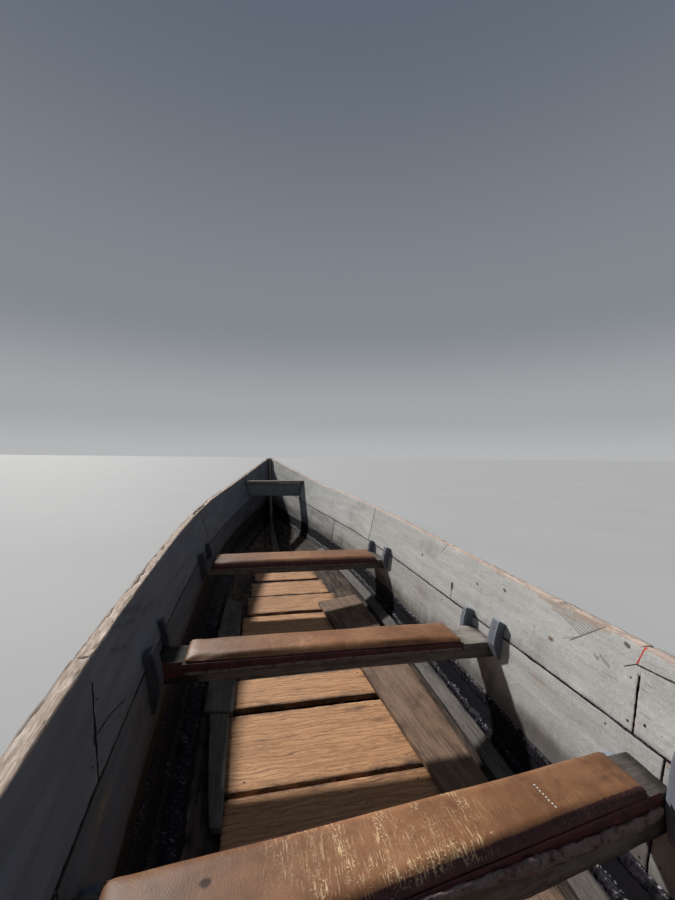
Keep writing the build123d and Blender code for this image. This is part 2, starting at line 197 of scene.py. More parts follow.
def bottom_reach(y, z):
    p = inner_line(y)
    lx, lz, kx, kz = p[..., 3, 0], p[..., 3, 1], p[..., 4, 0], p[..., 4, 1]
    return kx + (z - kz) * (lx - kx) / (lz - kz)


# ---------------------------------------------------------------------------
# Repeatable noise
# ---------------------------------------------------------------------------
def lattice(ix, iy, iz, seed):
    h = (ix * 73856093) ^ (iy * 19349663) ^ (iz * 83492791) ^ (seed * 26544357 + 977)
    h = h & 0xFFFFFFFF
    h = ((h ^ (h >> 15)) * 2246822519) & 0xFFFFFFFF
    h = ((h ^ (h >> 13)) * 3266489917) & 0xFFFFFFFF
    h = h ^ (h >> 16)
    return (h & 0xFFFFFF) / float(0xFFFFFF) * 2.0 - 1.0


def noise(x, y=0.0, z=0.0, seed=0):
    """Smooth value noise, -1 to 1."""
    x, y, z = np.broadcast_arrays(np.asarray(x, float), np.asarray(y, float), np.asarray(z, float))
    fx, fy, fz = np.floor(x), np.floor(y), np.floor(z)
    ix, iy, iz = fx.astype(np.int64), fy.astype(np.int64), fz.astype(np.int64)
    u, v, w = x - fx, y - fy, z - fz
    u, v, w = (t * t * t * (t * (t * 6 - 15) + 10) for t in (u, v, w))
    total = 0.0
    for dx in (0, 1):
        for dy in (0, 1):
            for dz in (0, 1):
                k = (u if dx else 1 - u) * (v if dy else 1 - v) * (w if dz else 1 - w)
                total = total + k * lattice(ix + dx, iy + dy, iz + dz, seed)
    return total


def fbm(x, y=0.0, z=0.0, seed=0, octaves=3):
    total, amp, f = 0.0, 1.0, 1.0
    x, y, z = np.asarray(x, float), np.asarray(y, float), np.asarray(z, float)
    for k in range(octaves):
        total = total + amp * noise(x * f + 17.3 * k, y * f - 5.1 * k, z * f + 2.7 * k, seed + k)
        amp *= 0.5
        f *= 2.03
    return total / 1.6


def step(x, lo, hi):
    t = np.clip((np.asarray(x, float) - lo) / (hi - lo), 0.0, 1.0)
    return t * t * (3 - 2 * t)


# ---------------------------------------------------------------------------
# Mesh builders
# ---------------------------------------------------------------------------
def mesh_object(name, verts, faces, attrs=None, smooth=True):
    """verts (N, 3) metres, faces a list of (M, k) index arrays."""
    me = bpy.data.meshes.new(name)
    sizes = np.concatenate([np.full(len(f), f.shape[1]) for f in faces if len(f)])
    loops = np.concatenate([f.ravel() for f in faces if len(f)]).astype(np.int32)
    starts = np.concatenate([[0], np.cumsum(sizes)[:-1]]).astype(np.int32)
    me.vertices.add(len(verts))
    me.vertices.foreach_set("co", np.asarray(verts, np.float32).ravel())
    me.loops.add(len(loops))
    me.loops.foreach_set("vertex_index", loops)
    me.polygons.add(len(sizes))
    me.polygons.foreach_set("loop_start", starts)
    me.polygons.foreach_set("use_smooth", np.full(len(sizes), smooth))
    for key, val in (attrs or {}).items():
        val = np.asarray(val, np.float32)
        if val.shape[-1] == 3:
            at = me.attributes.new(key, "FLOAT_VECTOR", "POINT")
            at.data.foreach_set("vector", val.ravel())
        else:
            at = me.attributes.new(key, "FLOAT_COLOR", "POINT")
            at.data.foreach_set("color", val.ravel())
    me.update(calc_edges=True)
    me.validate()
    ob = bpy.data.objects.new(name, me)
    bpy.context.scene.collection.objects.link(ob)
    return ob


def ring_shape(w, t, radii, n_in, n_bottom, n_out, n_top, arc=3):
    """Rounded rectangle rings: w, t and each of 4 radii are (U,) arrays in mm.
    Corner order: top-inner, bottom-inner, bottom-outer, top-outer.
    Returns a, b, na, nb as (U, R)."""
    w = np.asarray(w, float)[:, None]
    t = np.asarray(t, float)[:, None]
    r0, r1, r2, r3 = (np.minimum(np.asarray(r, float)[:, None] + 0 * w, np.minimum(w, t) * 0.45) for r in radii)
    A, B, NA, NB = [], [], [], []

    def line(a0, b0, a1, b1, n, na, nb):
        for k in range(n):
            s = (k + 1) / (n + 1)
            A.append(a0 + (a1 - a0) * s)
            B.append(b0 + (b1 - b0) * s)
            NA.append(0 * w + na)
            NB.append(0 * w + nb)

    def corner(ca, cb, r, ang0):
        for k in range(arc + 1):
            th = math.radians(ang0 + 90.0 * k / arc)
            A.append(ca + r * math.cos(th))
            B.append(cb + r * math.sin(th))
            NA.append(0 * w + math.cos(th))
            NB.append(0 * w + math.sin(th))

    line(r0, 0 * w, w - r1, 0 * w, n_in, 0, -1)
    corner(w - r1, r1, r1, -90)
    line(w, r1, w, t - r2, n_bottom, 1, 0)
    corner(w - r2, t - r2, r2, 0)
    line(w - r2, t, r3, t, n_out, 0, 1)
    corner(r3, t - r3, r3, 90)
    line(0 * w, t - r3, 0 * w, r0, n_top, -1, 0)
    corner(r0, r0, r0, 180)
    return (np.concatenate(q, 1) for q in (A, B, NA, NB))


def bar(name, u, width, thick, to_space, radii=(3, 3, 3, 3), counts=(20, 2, 8, 2), end_round=3.0,
        depth=None, masks=None, offset=0.0, arc=3, build=True):
    """A plank as a closed mesh. u (U,) mm along, width(u) and thick(u) mm.
    to_space(u, a, b) gives metres; depth(u, a, b, na, nb) mm of recess."""
    u = np.asarray(u, float)
    er = end_round
    ths = np.radians([0, 35, 65])
    head = [(u[0] + er * (1 - math.cos(t)), er * (1 - math.sin(t))) for t in ths]
    tail = [(u[-1] - er * (1 - math.cos(t)), er * (1 - math.sin(t))) for t in ths]
    mid = [(x, 0.0) for x in u if u[0] + er * 1.05 < x < u[-1] - er * 1.05]
    rows = head + [(u[0] + er, 0.0)] + mid + [(u[-1] - er, 0.0)] + tail[::-1]
    uu = np.array([r[0] for r in rows])
    inset = np.array([r[1] for r in rows])
    w = np.asarray(width(uu), float) + 0 * uu
    t = np.asarray(thick(uu), float) + 0 * uu
    rr = [np.asarray(r(uu) if callable(r) else r, float) + 0 * uu for r in radii]
    a, b, na, nb = ring_shape(w, t, rr, *counts, arc=arc)
    k = inset[:, None]
    a2 = k + a * (w[:, None] - 2 * k) / w[:, None]
    b2 = k + b * (t[:, None] - 2 * k) / t[:, None]
    U = uu[:, None] + 0 * a2
    if depth is not None:
        d = depth(U, a2, b2, na, nb)
        a2 = a2 - na * d
        b2 = b2 - nb * d
    P = to_space(U, a2, b2)
    nu, nr = a2.shape
    idx = np.arange(nu * nr).reshape(nu, nr)
    q = np.stack([idx[:-1], np.roll(idx, -1, 1)[:-1], np.roll(idx, -1, 1)[1:], idx[1:]], -1).reshape(-1, 4)
    verts = P.reshape(-1, 3)
    grain = np.stack([U / 1000 + offset, a2 / 1000, b2 / 1000], -1).reshape(-1, 3)
    mk = masks(U, a2, b2, na, nb).reshape(-1, 4) if masks is not None else np.tile([0, 0, 0, 1.0], (len(verts), 1))
    caps = []
    for row, flip in ((0, False), (nu - 1, True)):
        c = P[row].mean(0)
        ci = len(verts)
        verts = np.vstack([verts, c[None]])
        grain = np.vstack([grain, [[uu[row] / 1000 + offset, a2[row].mean() / 1000, b2[row].mean() / 1000]]])
        mk = np.vstack([mk, mk[idx[row]].mean(0)[None]])
        tri = np.stack([np.full(nr, ci), np.roll(idx[row], -1), idx[row]], -1)
        caps.append(tri[:, ::-1] if flip else tri)
    # outward winding: compare one face's normal with the ring normal side
    v0, v1, v2 = (verts[q[:, j]] for j in (0, 1, 2))
    face_n = np.cross(v1 - v0, v2 - v0)
    centre = P.mean(1).repeat(nr, 0)[: len(q)]
    out = np.sum(face_n * (v0 - centre), -1).sum()
    if out < 0:
        q = q[:, ::-1]
        caps = [c[:, ::-1] for c in caps]
    data = (verts, [q, np.concatenate(caps)], {"grain": grain, "mask": mk})
    return mesh_object(name, *data) if build else data


def joined(name, parts):
    """Several bar() results (build=False) as one object."""
    verts, faces, attrs, n = [], {}, {}, 0
    for v, fs, at in parts:
        for f in fs:
            faces.setdefault(f.shape[1], []).append(f + n)
        for key, val in at.items():
            attrs.setdefault(key, []).append(val)
        verts.append(v)
        n += len(v)
    return mesh_object(name, np.vstack(verts), [np.concatenate(f) for f in faces.values()],
                       {key: np.vstack(val) for key, val in attrs.items()})


def tube(points, radius, sides=8, taper=None):
    """A closed tube through points (N, 3) in metres, as bar() data."""
    p = np.asarray(points, float)
    n = len(p)
    tan = np.gradient(p, axis=0)
    tan /= np.linalg.norm(tan, axis=1, keepdims=True)
    ref = np.array([0.0, 0.0, 1.0]) if abs(tan[:, 2]).max() < 0.9 else np.array([1.0, 0.0, 0.0])
    s = np.cross(tan, ref)
    s /= np.linalg.norm(s, axis=1, keepdims=True)
    c = np.cross(s, tan)
    r = (np.asarray(radius, float) + np.zeros(n)) * (taper if taper is not None else 1.0)
    ang = np.linspace(0, 2 * math.pi, sides, endpoint=False)
    ring = p[:, None] + r[:, None, None] * (np.cos(ang)[None, :, None] * s[:, None] + np.sin(ang)[None, :, None] * c[:, None])
    idx = np.arange(n * sides).reshape(n, sides)
    q = np.stack([idx[:-1], np.roll(idx, -1, 1)[:-1], np.roll(idx, -1, 1)[1:], idx[1:]], -1).reshape(-1, 4)
    verts = np.vstack([ring.reshape(-1, 3), p[0] - tan[0] * r[0] * 0.5, p[-1] + tan[-1] * r[-1] * 0.5])
    a = np.stack([np.full(sides, n * sides), np.roll(idx[0], -1), idx[0]], -1)
    b = np.stack([np.full(sides, n * sides + 1), idx[-1], np.roll(idx[-1], -1)], -1)
    g = verts.copy()
    return verts, [q, np.concatenate([a, b])], {"grain": g, "mask": np.tile([0, 0, 0, 1.0], (len(verts), 1))}


# ---------------------------------------------------------------------------
# Materials
# ---------------------------------------------------------------------------
class Surface:
    """A short way to write node materials. Numbers go straight on sockets."""

    def __init__(self, name):
        self.mat = bpy.data.materials.new(name)
        self.mat.use_nodes = True
        self.t = self.mat.node_tree
        for n in list(self.t.nodes):
            self.t.nodes.remove(n)
        self.out = self.t.nodes.new("ShaderNodeOutputMaterial")
        self.bsdf = self.t.nodes.new("ShaderNodeBsdfPrincipled")
        self.t.links.new(self.bsdf.outputs[0], self.out.inputs[0])

    def put(self, socket, v):
        if isinstance(v, bpy.types.NodeSocket):
            self.t.links.new(v, socket)
        elif isinstance(v, tuple) and len(v) == 3 and socket.type == "RGBA":
            socket.default_value = (*v, 1.0)
        else:
            socket.default_value = v

    def attr(self, name, out="Vector"):
        n = self.t.nodes.new("ShaderNodeAttribute")
        n.attribute_name = name
        return n.outputs[out]

    def place(self):
        n = self.t.nodes.new("ShaderNodeTexCoord")
        return n.outputs["Object"]

    def geometry_normal(self):
        return self.t.nodes.new("ShaderNodeNewGeometry").outputs["Normal"]

    def split(self, v):
        n = self.t.nodes.new("ShaderNodeSeparateXYZ")
        self.put(n.inputs[0], v)
        return n.outputs

    def scaled(self, v, s, shift=(0, 0, 0)):
        n = self.t.nodes.new("ShaderNodeMapping")
        self.put(n.inputs["Vector"], v)
        n.inputs["Scale"].default_value = s
        n.inputs["Location"].default_value = shift
        return n.outputs[0]

    def noise(self, v, scale=1.0, detail=3.0, rough=0.5, dist=0.0):
        n = self.t.nodes.new("ShaderNodeTexNoise")
        self.put(n.inputs["Vector"], v)
        n.inputs["Scale"].default_value = scale
        n.inputs["Detail"].default_value = detail
        n.inputs["Roughness"].default_value = rough
        n.inputs["Distortion"].default_value = dist
        return n.outputs["Fac"]

    def cells(self, v, scale=1.0, feature="F1", out="Distance", random=1.0):
        n = self.t.nodes.new("ShaderNodeTexVoronoi")
        n.feature = feature
        self.put(n.inputs["Vector"], v)
        n.inputs["Scale"].default_value = scale
        n.inputs["Randomness"].default_value = random
        return n.outputs[out]

    def wave(self, v, scale, dist=2.0, detail=2.0, dscale=1.0, direction="X", profile="SIN"):
        n = self.t.nodes.new("ShaderNodeTexWave")
        n.wave_type = "BANDS"
        n.bands_direction = direction
        n.wave_profile = profile
        self.put(n.inputs["Vector"], v)
        n.inputs["Scale"].default_value = scale
        n.inputs["Distortion"].default_value = dist
        n.inputs["Detail"].default_value = detail
        n.inputs["Detail Scale"].default_value = dscale
        return n.outputs["Fac"]

    def math(self, op, a, b=None, c=None, clamp=False):
        n = self.t.nodes.new("ShaderNodeMath")
        n.operation = op
        n.use_clamp = clamp
        for s, v in zip(n.inputs, (a, b, c)):
            if v is not None:
                self.put(s, v)
        return n.outputs[0]

    def vmath(self, op, a, b=None, scale=None, out=0):
        n = self.t.nodes.new("ShaderNodeVectorMath")
        n.operation = op
        self.put(n.inputs[0], a)
        if b is not None:
            self.put(n.inputs[1], b)
        if scale is not None:
            self.put(n.inputs["Scale"], scale)
        return n.outputs[out]

    def span(self, v, lo, hi, a=0.0, b=1.0, smooth=True):
        n = self.t.nodes.new("ShaderNodeMapRange")
        n.interpolation_type = "SMOOTHSTEP" if smooth else "LINEAR"
        self.put(n.inputs["Value"], v)
        n.inputs["From Min"].default_value = lo
        n.inputs["From Max"].default_value = hi
        n.inputs["To Min"].default_value = a
        n.inputs["To Max"].default_value = b
        return n.outputs[0]

    def mix(self, f, a, b, mode="MIX"):
        n = self.t.nodes.new("ShaderNodeMix")
        n.data_type = "RGBA"
        n.blend_type = mode
        self.put(n.inputs[0], f)
        self.put(n.inputs[6], a)
        self.put(n.inputs[7], b)
        return n.outputs[2]

    def bump(self, height, distance, strength=1.0, normal=None):
        n = self.t.nodes.new("ShaderNodeBump")
        n.inputs["Strength"].default_value = strength
        n.inputs["Distance"].default_value = distance
        self.put(n.inputs["Height"], height)
        if normal is not None:
            self.put(n.inputs["Normal"], normal)
        return n.outputs[0]

    def add(self, a, b, k=1.0):
        return self.math("MULTIPLY_ADD", b, k, a)

    def mark(self, flat, p, q, w0, w1, wobble=None, k=0.0):
        """1 on the line from p to q (y, z metres), fading from w0 to w1 away."""
        d = self.vmath("SUBTRACT", flat, (0.0, p[0], p[1]))
        e = (0.0, q[0] - p[0], q[1] - p[1])
        n2 = e[1] ** 2 + e[2] ** 2
        t = self.math("DIVIDE", self.vmath("DOT_PRODUCT", d, e, out="Value"), max(n2, 1e-9), clamp=True)
        n = self.t.nodes.new("ShaderNodeVectorMath")
        n.operation = "SCALE"
        n.inputs[0].default_value = e
        self.t.links.new(t, n.inputs["Scale"])
        dist = self.vmath("LENGTH", self.vmath("SUBTRACT", d, n.outputs[0]), out="Value")
        if wobble is not None:
            dist = self.add(dist, self.math("SUBTRACT", wobble, 0.5), k)
        return self.span(dist, w0, w1, 1.0, 0.0)

    def finish(self, colour, rough, normal=None, spec=0.4, **more):
        self.put(self.bsdf.inputs["Base Color"], colour)
        self.put(self.bsdf.inputs["Roughness"], rough)
        self.bsdf.inputs["Specular IOR Level"].default_value = spec
        if normal is not None:
            self.t.links.new(normal, self.bsdf.inputs["Normal"])
        for key, val in more.items():
            self.put(self.bsdf.inputs[key.replace("_", " ")], val)
        return self.mat


def painted_wood(name, starboard):
    """Thin worn paint over sawn planks; the port copy is darker as painted shade. mask: r bare, g grime, b tar, a tone
    (which also carries painted shade and a painted highlight).
    """
    s = Surface(name)
    G, O, M = s.attr("grain"), s.place(), s.attr("mask", "Color")
    n = s.t.nodes.new("ShaderNodeSeparateColor")
    s.put(n.inputs[0], M)
    bare_in, grime_in, tar_in = n.outputs[0], n.outputs[1], n.outputs[2]
    tone = s.attr("mask", "Alpha")
    fine = s.noise(s.scaled(G, (5.0, 330.0, 330.0)), 1.0, 4.0, 0.62)
    band = s.noise(s.scaled(G, (2.6, 30.0, 30.0)), 1.0, 5.0, 0.62, 0.5)
    wide = s.noise(s.scaled(G, (2.2, 9.0, 9.0)), 1.0, 3.0, 0.55)
    blot = s.noise(s.scaled(G, (16.0, 30.0, 30.0)), 1.0, 5.0, 0.65)
    speck = s.noise(s.scaled(G, (170.0, 330.0, 330.0)), 1.0, 2.0, 0.6)
    # paint: pale where it is thick, greyer where grain shows through
    if starboard:
        paint = s.mix(s.span(band, 0.30, 0.70), (0.370, 0.371, 0.358), (0.478, 0.480, 0.465))
        paint = s.mix(s.span(fine, 0.46, 0.74, 0.0, 0.24), paint, (0.240, 0.225, 0.200))
        paint = s.mix(s.span(wide, 0.48, 0.75, 0.0, 0.45), paint, (0.330, 0.330, 0.322))
        paint = s.mix(s.span(blot, 0.54, 0.74, 0.0, 0.6), paint, (0.560, 0.560, 0.545))
        mott = s.noise(s.scaled(G, (38.0, 62.0, 62.0)), 1.0, 5.0, 0.7)
        paint = s.mix(s.span(mott, 0.52, 0.68, 0.0, 0.50), paint, (0.285, 0.275, 0.245))
        grit = s.noise(s.scaled(G, (120.0, 190.0, 190.0)), 1.0, 4.0, 0.7)
        paint = s.mix(s.span(grit, 0.50, 0.66, 0.0, 0.30), paint, (0.250, 0.240, 0.215))
        paint = s.mix(s.span(grit, 0.50, 0.34, 0.0, 0.35), paint, (0.600, 0.595, 0.560))
    else:
        # the port palette is a darker, bluer copy of the starboard one: painted shade
        paint = s.mix(s.span(band, 0.30, 0.70), (0.108, 0.118, 0.140), (0.146, 0.158, 0.186))
        paint = s.mix(s.span(fine, 0.46, 0.74, 0.0, 0.22), paint, (0.080, 0.083, 0.094))
        paint = s.mix(s.span(wide, 0.48, 0.75, 0.0, 0.45), paint, (0.088, 0.096, 0.114))
        paint = s.mix(s.span(blot, 0.62, 0.80, 0.0, 0.3), paint, (0.220, 0.228, 0.246))
    # bare weathered wood under it
    rings = s.wave(s.scaled(G, (0.35, 1.0, 1.0)), 46.0, 5.0, 3.0, 1.6, "Y")
    if starboard:
        wood = s.mix(s.span(fine, 0.35, 0.68), (0.520, 0.420, 0.365), (0.330, 0.250, 0.210))
    else:
        # the port wood is a darker copy of the starboard wood: painted shade
        wood = s.mix(s.span(fine, 0.35, 0.68), (0.370, 0.305, 0.255), (0.200, 0.150, 0.118))
    wood = s.mix(s.span(rings, 0.55, 1.0, 0.0, 0.35), wood, (0.130, 0.092, 0.070))
    wood = s.mix(s.span(blot, 0.5, 0.75, 0.0, 0.6), wood, (0.450, 0.395, 0.350))
    ragged = s.add(s.add(bare_in, s.math("SUBTRACT", fine, 0.5), 0.9), s.math("SUBTRACT", blot, 0.5), 0.9)
    bare = s.span(ragged, 0.42, 0.62)
    colour = s.mix(bare, paint, wood)
    # grime, and dark runs down from it
    runs = s.noise(s.scaled(G, (26.0, 4.5, 4.5)), 1.0, 4.0, 0.6)
    dirty = s.add(s.add(grime_in, s.math("SUBTRACT", wide, 0.5), 0.8), s.math("SUBTRACT", runs, 0.5), 0.6)
    grime = s.span(dirty, 0.15, 1.05, 0.0, 0.86)
    colour = s.mix(grime, colour, (0.060, 0.052, 0.045))
    # scattered pin holes and short dark grain checks
    checks = s.span(s.noise(s.scaled(G, (13.0, 420.0, 420.0)), 1.0, 2.0, 0.5), 0.69, 0.76)
    colour = s.mix(s.math("MULTIPLY", checks, 0.5), colour, (0.085, 0.072, 0.062))
    holes = s.span(s.cells(s.scaled(G, (34.0, 62.0, 62.0)), 1.0), 0.035, 0.075, 1.0, 0.0)
    colour = s.mix(s.math("MULTIPLY", holes, 0.75), colour, (0.05, 0.04, 0.035))
    height = s.add(s.math("MULTIPLY", fine, -0.55), band, 0.5)
    height = s.add(height, checks, -1.3)
    height = s.add(height, bare, -0.35)
    height = s.add(height, speck, 0.25)
    tarry = s.add(tar_in, s.math("SUBTRACT", blot, 0.5), 0.9)
    if starboard:
        flat = s.vmath("MULTIPLY", O, (0.0, 1.0, 1.0))
        w = s.noise(O, 60.0, 3.0, 0.6)
        inside = s.span(s.split(G)[2], 0.004, 0.012, 1.0, 0.0)

        def paint_on(colour, mask, k, tint):
            return s.mix(s.math("MULTIPLY", s.math("MULTIPLY", mask, inside), k), colour, tint)

        # a fan of saw scratches running down from the gunwale
        for i in range(10):
            f = i / 9.0
            p, q = (-0.828 - 0.166 * f, 0.508 + 0.008 * f), (-0.984 - 0.066 * f, 0.466 + 0.052 * f)
            colour = paint_on(colour, s.mark(flat, p, q, 0.0007, 0.0022, w, 0.0016), 0.62, (0.150, 0.125, 0.100))
        cut = s.mark(flat, (-0.950, 0.440), (-1.044, 0.513), 0.0008, 0.0026, w, 0.002)
        colour = paint_on(colour, cut, 0.85, (0.10, 0.075, 0.055))
        colour = paint_on(colour, s.mark(flat, (-0.925, 0.434), (-0.984, 0.464), 0.0006, 0.0022, w, 0.002), 0.5, (0.14, 0.11, 0.085))
        # brown exposed streaks below the gunwale
        for (p, q, wd) in (((-0.790, 0.508), (-0.905, 0.506), 0.010), ((-0.940, 0.509), (-1.060, 0.506), 0.009),
                           ((-0.860, 0.492), (-0.960, 0.494), 0.006), ((-0.560, 0.512), (-0.660, 0.510), 0.006)):
            colour = paint_on(colour, s.mark(flat, p, q, wd * 0.2, wd, w, 0.016), 0.48, (0.330, 0.215, 0.150))
        # tarred hole with its drip, dark marks, knots
        colour = paint_on(colour, s.mark(flat, (-0.285, 0.384), (-0.291, 0.372), 0.006, 0.012, w, 0.012), 0.95, (0.020, 0.017, 0.015))
        colour = paint_on(colour, s.mark(flat, (-0.293, 0.372), (-0.300, 0.330), 0.001, 0.004, w, 0.006), 0.8, (0.040, 0.032, 0.028))
        colour = paint_on(colour, s.mark(flat, (-0.622, 0.471), (-0.634, 0.468), 0.002, 0.006, w, 0.006), 0.85, (0.035, 0.03, 0.025))
        colour = paint_on(colour, s.mark(flat, (-1.108, 0.502), (-1.118, 0.500), 0.002, 0.006, w, 0.005), 0.85, (0.045, 0.035, 0.03))
        for (y, z, r) in ((-0.878, 0.414, 0.0075), (-0.455, 0.440, 0.0060), (-1.330, 0.420, 0.009), (0.060, 0.430, 0.008)):
            colour = paint_on(colour, s.mark(flat, (y, z), (y - 0.012, z), r * 0.5, r * 1.1, w, 0.006), 0.75, (0.170, 0.105, 0.065))
            colour = paint_on(colour, s.mark(flat, (y - 0.004, z), (y - 0.008, z), r * 0.15, r * 0.4, w, 0.003), 0.9, (0.05, 0.032, 0.022))
        for (y, z) in ((-1.036, 0.441), (-1.069, 0.440), (-1.052, 0.447)):
            colour = paint_on(colour, s.mark(flat, (y, z), (y - 0.010, z - 0.004), 0.001, 0.006, w, 0.008), 0.55, (0.12, 0.10, 0.085))
        # red paint line above the joint, and the long crack aft of it
        red = s.mark(flat, (-1.158, 0.519), (-1.147, 0.474), 0.0016, 0.0030, w, 0.0022)
        colour = paint_on(colour, red, 0.92, (0.420, 0.030, 0.022))
        crack = s.mark(flat, (-1.146, 0.4725), (-1.243, 0.4800), 0.0007, 0.0022, w, 0.0030)
        crack2 = s.mark(flat, (-1.120, 0.4555), (-1.146, 0.4725), 0.0006, 0.0018, w, 0.0022)
        crack3 = s.mark(flat, (-0.165, 0.538), (-0.120, 0.481), 0.0006, 0.0018, w, 0.004)
        crack4 = s.mark(flat, (-1.243, 0.480), (-1.520, 0.472), 0.0004, 0.0016, w, 0.0035)
        cracks = s.math("MAXIMUM", s.math("MAXIMUM", crack, crack2), s.math("MAXIMUM", crack3, crack4))
        cracks = s.math("MULTIPLY", cracks, inside)
        colour = s.mix(s.math("MULTIPLY", cracks, 0.95), colour, (0.018, 0.014, 0.012))
        height = s.add(height, cracks, -5.0)
        # slanting saw lines near the joint
        for i in range(6):
            y0 = -1.165 - 0.012 * i
            colour = paint_on(colour, s.mark(flat, (y0, 0.468), (y0 - 0.060, 0.436), 0.0005, 0.0018, w, 0.0016), 0.35, (0.14, 0.115, 0.095))
    else:
        flat = s.vmath("MULTIPLY", O, (0.0, 1.0, 1.0))
        w = s.noise(O, 60.0, 3.0, 0.6)
        inside = s.span(s.split(G)[2], 0.004, 0.012, 1.0, 0.0)
        cracks = s.math("MAXIMUM", s.mark(flat, (-1.044, 0.3965), (-0.960, 0.3855), 0.0008, 0.0026, w, 0.005),
                        s.mark(flat, (-1.046, 0.398), (-1.052, 0.392), 0.0034, 0.0070, w, 0.004))
        cracks = s.math("MAXIMUM", cracks, s.mark(flat, (-0.960, 0.3855), (-0.862, 0.3610), 0.0004, 0.0020, w, 0.005))
        cracks = s.math("MULTIPLY", cracks, inside)
        # dark smears slanting down from the gunwale
        for p, q, wd in (((-0.700, 0.505), (-0.560, 0.470), 0.010), ((-0.760, 0.492), (-0.640, 0.462), 0.007),
                         ((-0.850, 0.470), (-0.760, 0.440), 0.008), ((-0.560, 0.452), (-0.420, 0.440), 0.008)):
            smear = s.math("MULTIPLY", s.mark(flat, p, q, wd * 0.1, wd * 1.6, w, 0.030), inside)
            colour = s.mix(s.math("MULTIPLY", smear, 0.45), colour, (0.050, 0.052, 0.062))
        colour = s.mix(s.math("MULTIPLY", cracks, 0.95), colour, (0.015, 0.012, 0.010))
        height = s.add(height, cracks, -5.0)
    tar = s.span(tarry, 0.42, 0.58)
    colour = s.mix(tar, colour, (0.0085, 0.0080, 0.0100))
    # outside: stained towards the water, green and dark just above it
    outside = s.span(s.split(G)[2], 0.026, 0.033)
    z = s.split(O)[2]
    level = s.add(z, s.math("SUBTRACT", runs, 0.5), 0.10)
    stain = s.math("MULTIPLY", s.span(level, 0.02, 0.20, 0.88, 0.0), outside)
    colour = s.mix(stain, colour, (0.045, 0.045, 0.030))
    colour = s.mix(s.math("MULTIPLY", outside, 0.25), colour, (0.20, 0.205, 0.205))
    toned = s.vmath("SCALE", colour, scale=tone)
    rough = s.span(tar, 0.0, 1.0, 0.80, 0.66, False)
    return s.finish(toned, rough, s.bump(height, 0.00055, 0.9), 0.24 if starboard else 0.14)


def bare_wood(name, light, mid, dark, grain=(6.0, 300.0, 300.0), ring=40.0, ring_k=0.45,
              rough=0.82, bump=0.0007, dirt=(0.05, 0.04, 0.032), spec=0.3, wet=0.0, sway=0.0):
    """Unpainted planks. mask: r bleached, g grime, b tar, a tone (on some thwart ends it carries painted shade)."""
    s = Surface(name)
    G, M = s.attr("grain"), s.attr("mask", "Color")
    n = s.t.nodes.new("ShaderNodeSeparateColor")
    s.put(n.inputs[0], M)
    tone = s.attr("mask", "Alpha")
    if sway > 0:
        bend = s.math("SUBTRACT", s.noise(s.scaled(G, (7.0, 16.0, 16.0)), 1.0, 3.0, 0.55), 0.5)
        G = s.vmath("ADD", G, s.vmath("SCALE", (0.0, sway, 0.0), scale=bend))
    fine = s.noise(s.scaled(G, grain), 1.0, 4.0, 0.62)
    band = s.noise(s.scaled(G, (grain[0] * 0.25, grain[1] * 0.13, grain[2] * 0.13)), 1.0, 4.0, 0.58, 0.6)
    blot = s.noise(s.scaled(G, (9.0, 22.0, 22.0)), 1.0, 5.0, 0.65)
    rings = s.wave(s.scaled(G, (0.30, 1.0, 1.0)), ring, 6.5, 3.0, 1.3, "Y")
    colour = s.mix(s.span(band, 0.30, 0.68), light, mid)
    colour = s.mix(s.span(fine, 0.44, 0.72, 0.0, 0.7), colour, dark)
    colour = s.mix(s.span(rings, 0.5, 1.0, 0.0, ring_k), colour, dark)
    colour = s.mix(s.math("MULTIPLY", n.outputs[0], 0.7), colour, (0.52, 0.48, 0.43))
    dirty = s.add(s.add(n.outputs[1], s.math("SUBTRACT", blot, 0.5), 1.3), s.math("SUBTRACT", band, 0.5), 0.5)
    colour = s.mix(s.span(dirty, 0.15, 0.95, 0.0, 0.92), colour, dirt)
    checks = s.span(s.noise(s.scaled(G, (7.0, 420.0, 420.0)), 1.0, 2.0, 0.5), 0.64, 0.73)
    colour = s.mix(s.math("MULTIPLY", checks, 0.8), colour, (dark[0] * 0.3, dark[1] * 0.3, dark[2] * 0.3))
    tar = s.span(s.add(n.outputs[2], s.math("SUBTRACT", blot, 0.5), 0.9), 0.40, 0.60)
    colour = s.mix(tar, colour, (0.0085, 0.0078, 0.0100))
    height = s.add(s.math("MULTIPLY", fine, -0.8), rings, -0.35)
    height = s.add(height, checks, -1.6)
    if sway > 0:
        # short dark tears and paler rubbed patches
        tear = s.noise(s.scaled(G, (22.0, 210.0, 210.0)), 1.0, 2.0, 0.5)
        tear = s.math("MULTIPLY", s.span(tear, 0.60, 0.70), s.span(blot, 0.44, 0.60))
        colour = s.mix(s.math("MULTIPLY", tear, 0.6), colour, (dark[0] * 0.5, dark[1] * 0.5, dark[2] * 0.5))
        colour = s.mix(s.span(s.noise(s.scaled(G, (60.0, 140.0, 140.0)), 1.0, 4.0, 0.65), 0.52, 0.70, 0.0, 0.38), colour,
                       (light[0] * 1.22, light[1] * 1.25, light[2] * 1.22))
        height = s.add(height, tear, -1.4)
    toned = s.vmath("SCALE", colour, scale=tone)
    r = s.span(s.math("MAXIMUM", tar, s.span(dirty, 0.4, 1.0, 0.0, wet)), 0.0, 1.0, rough, 0.55, False)
    return s.finish(toned, r, s.bump(height, bump, 0.9), spec)


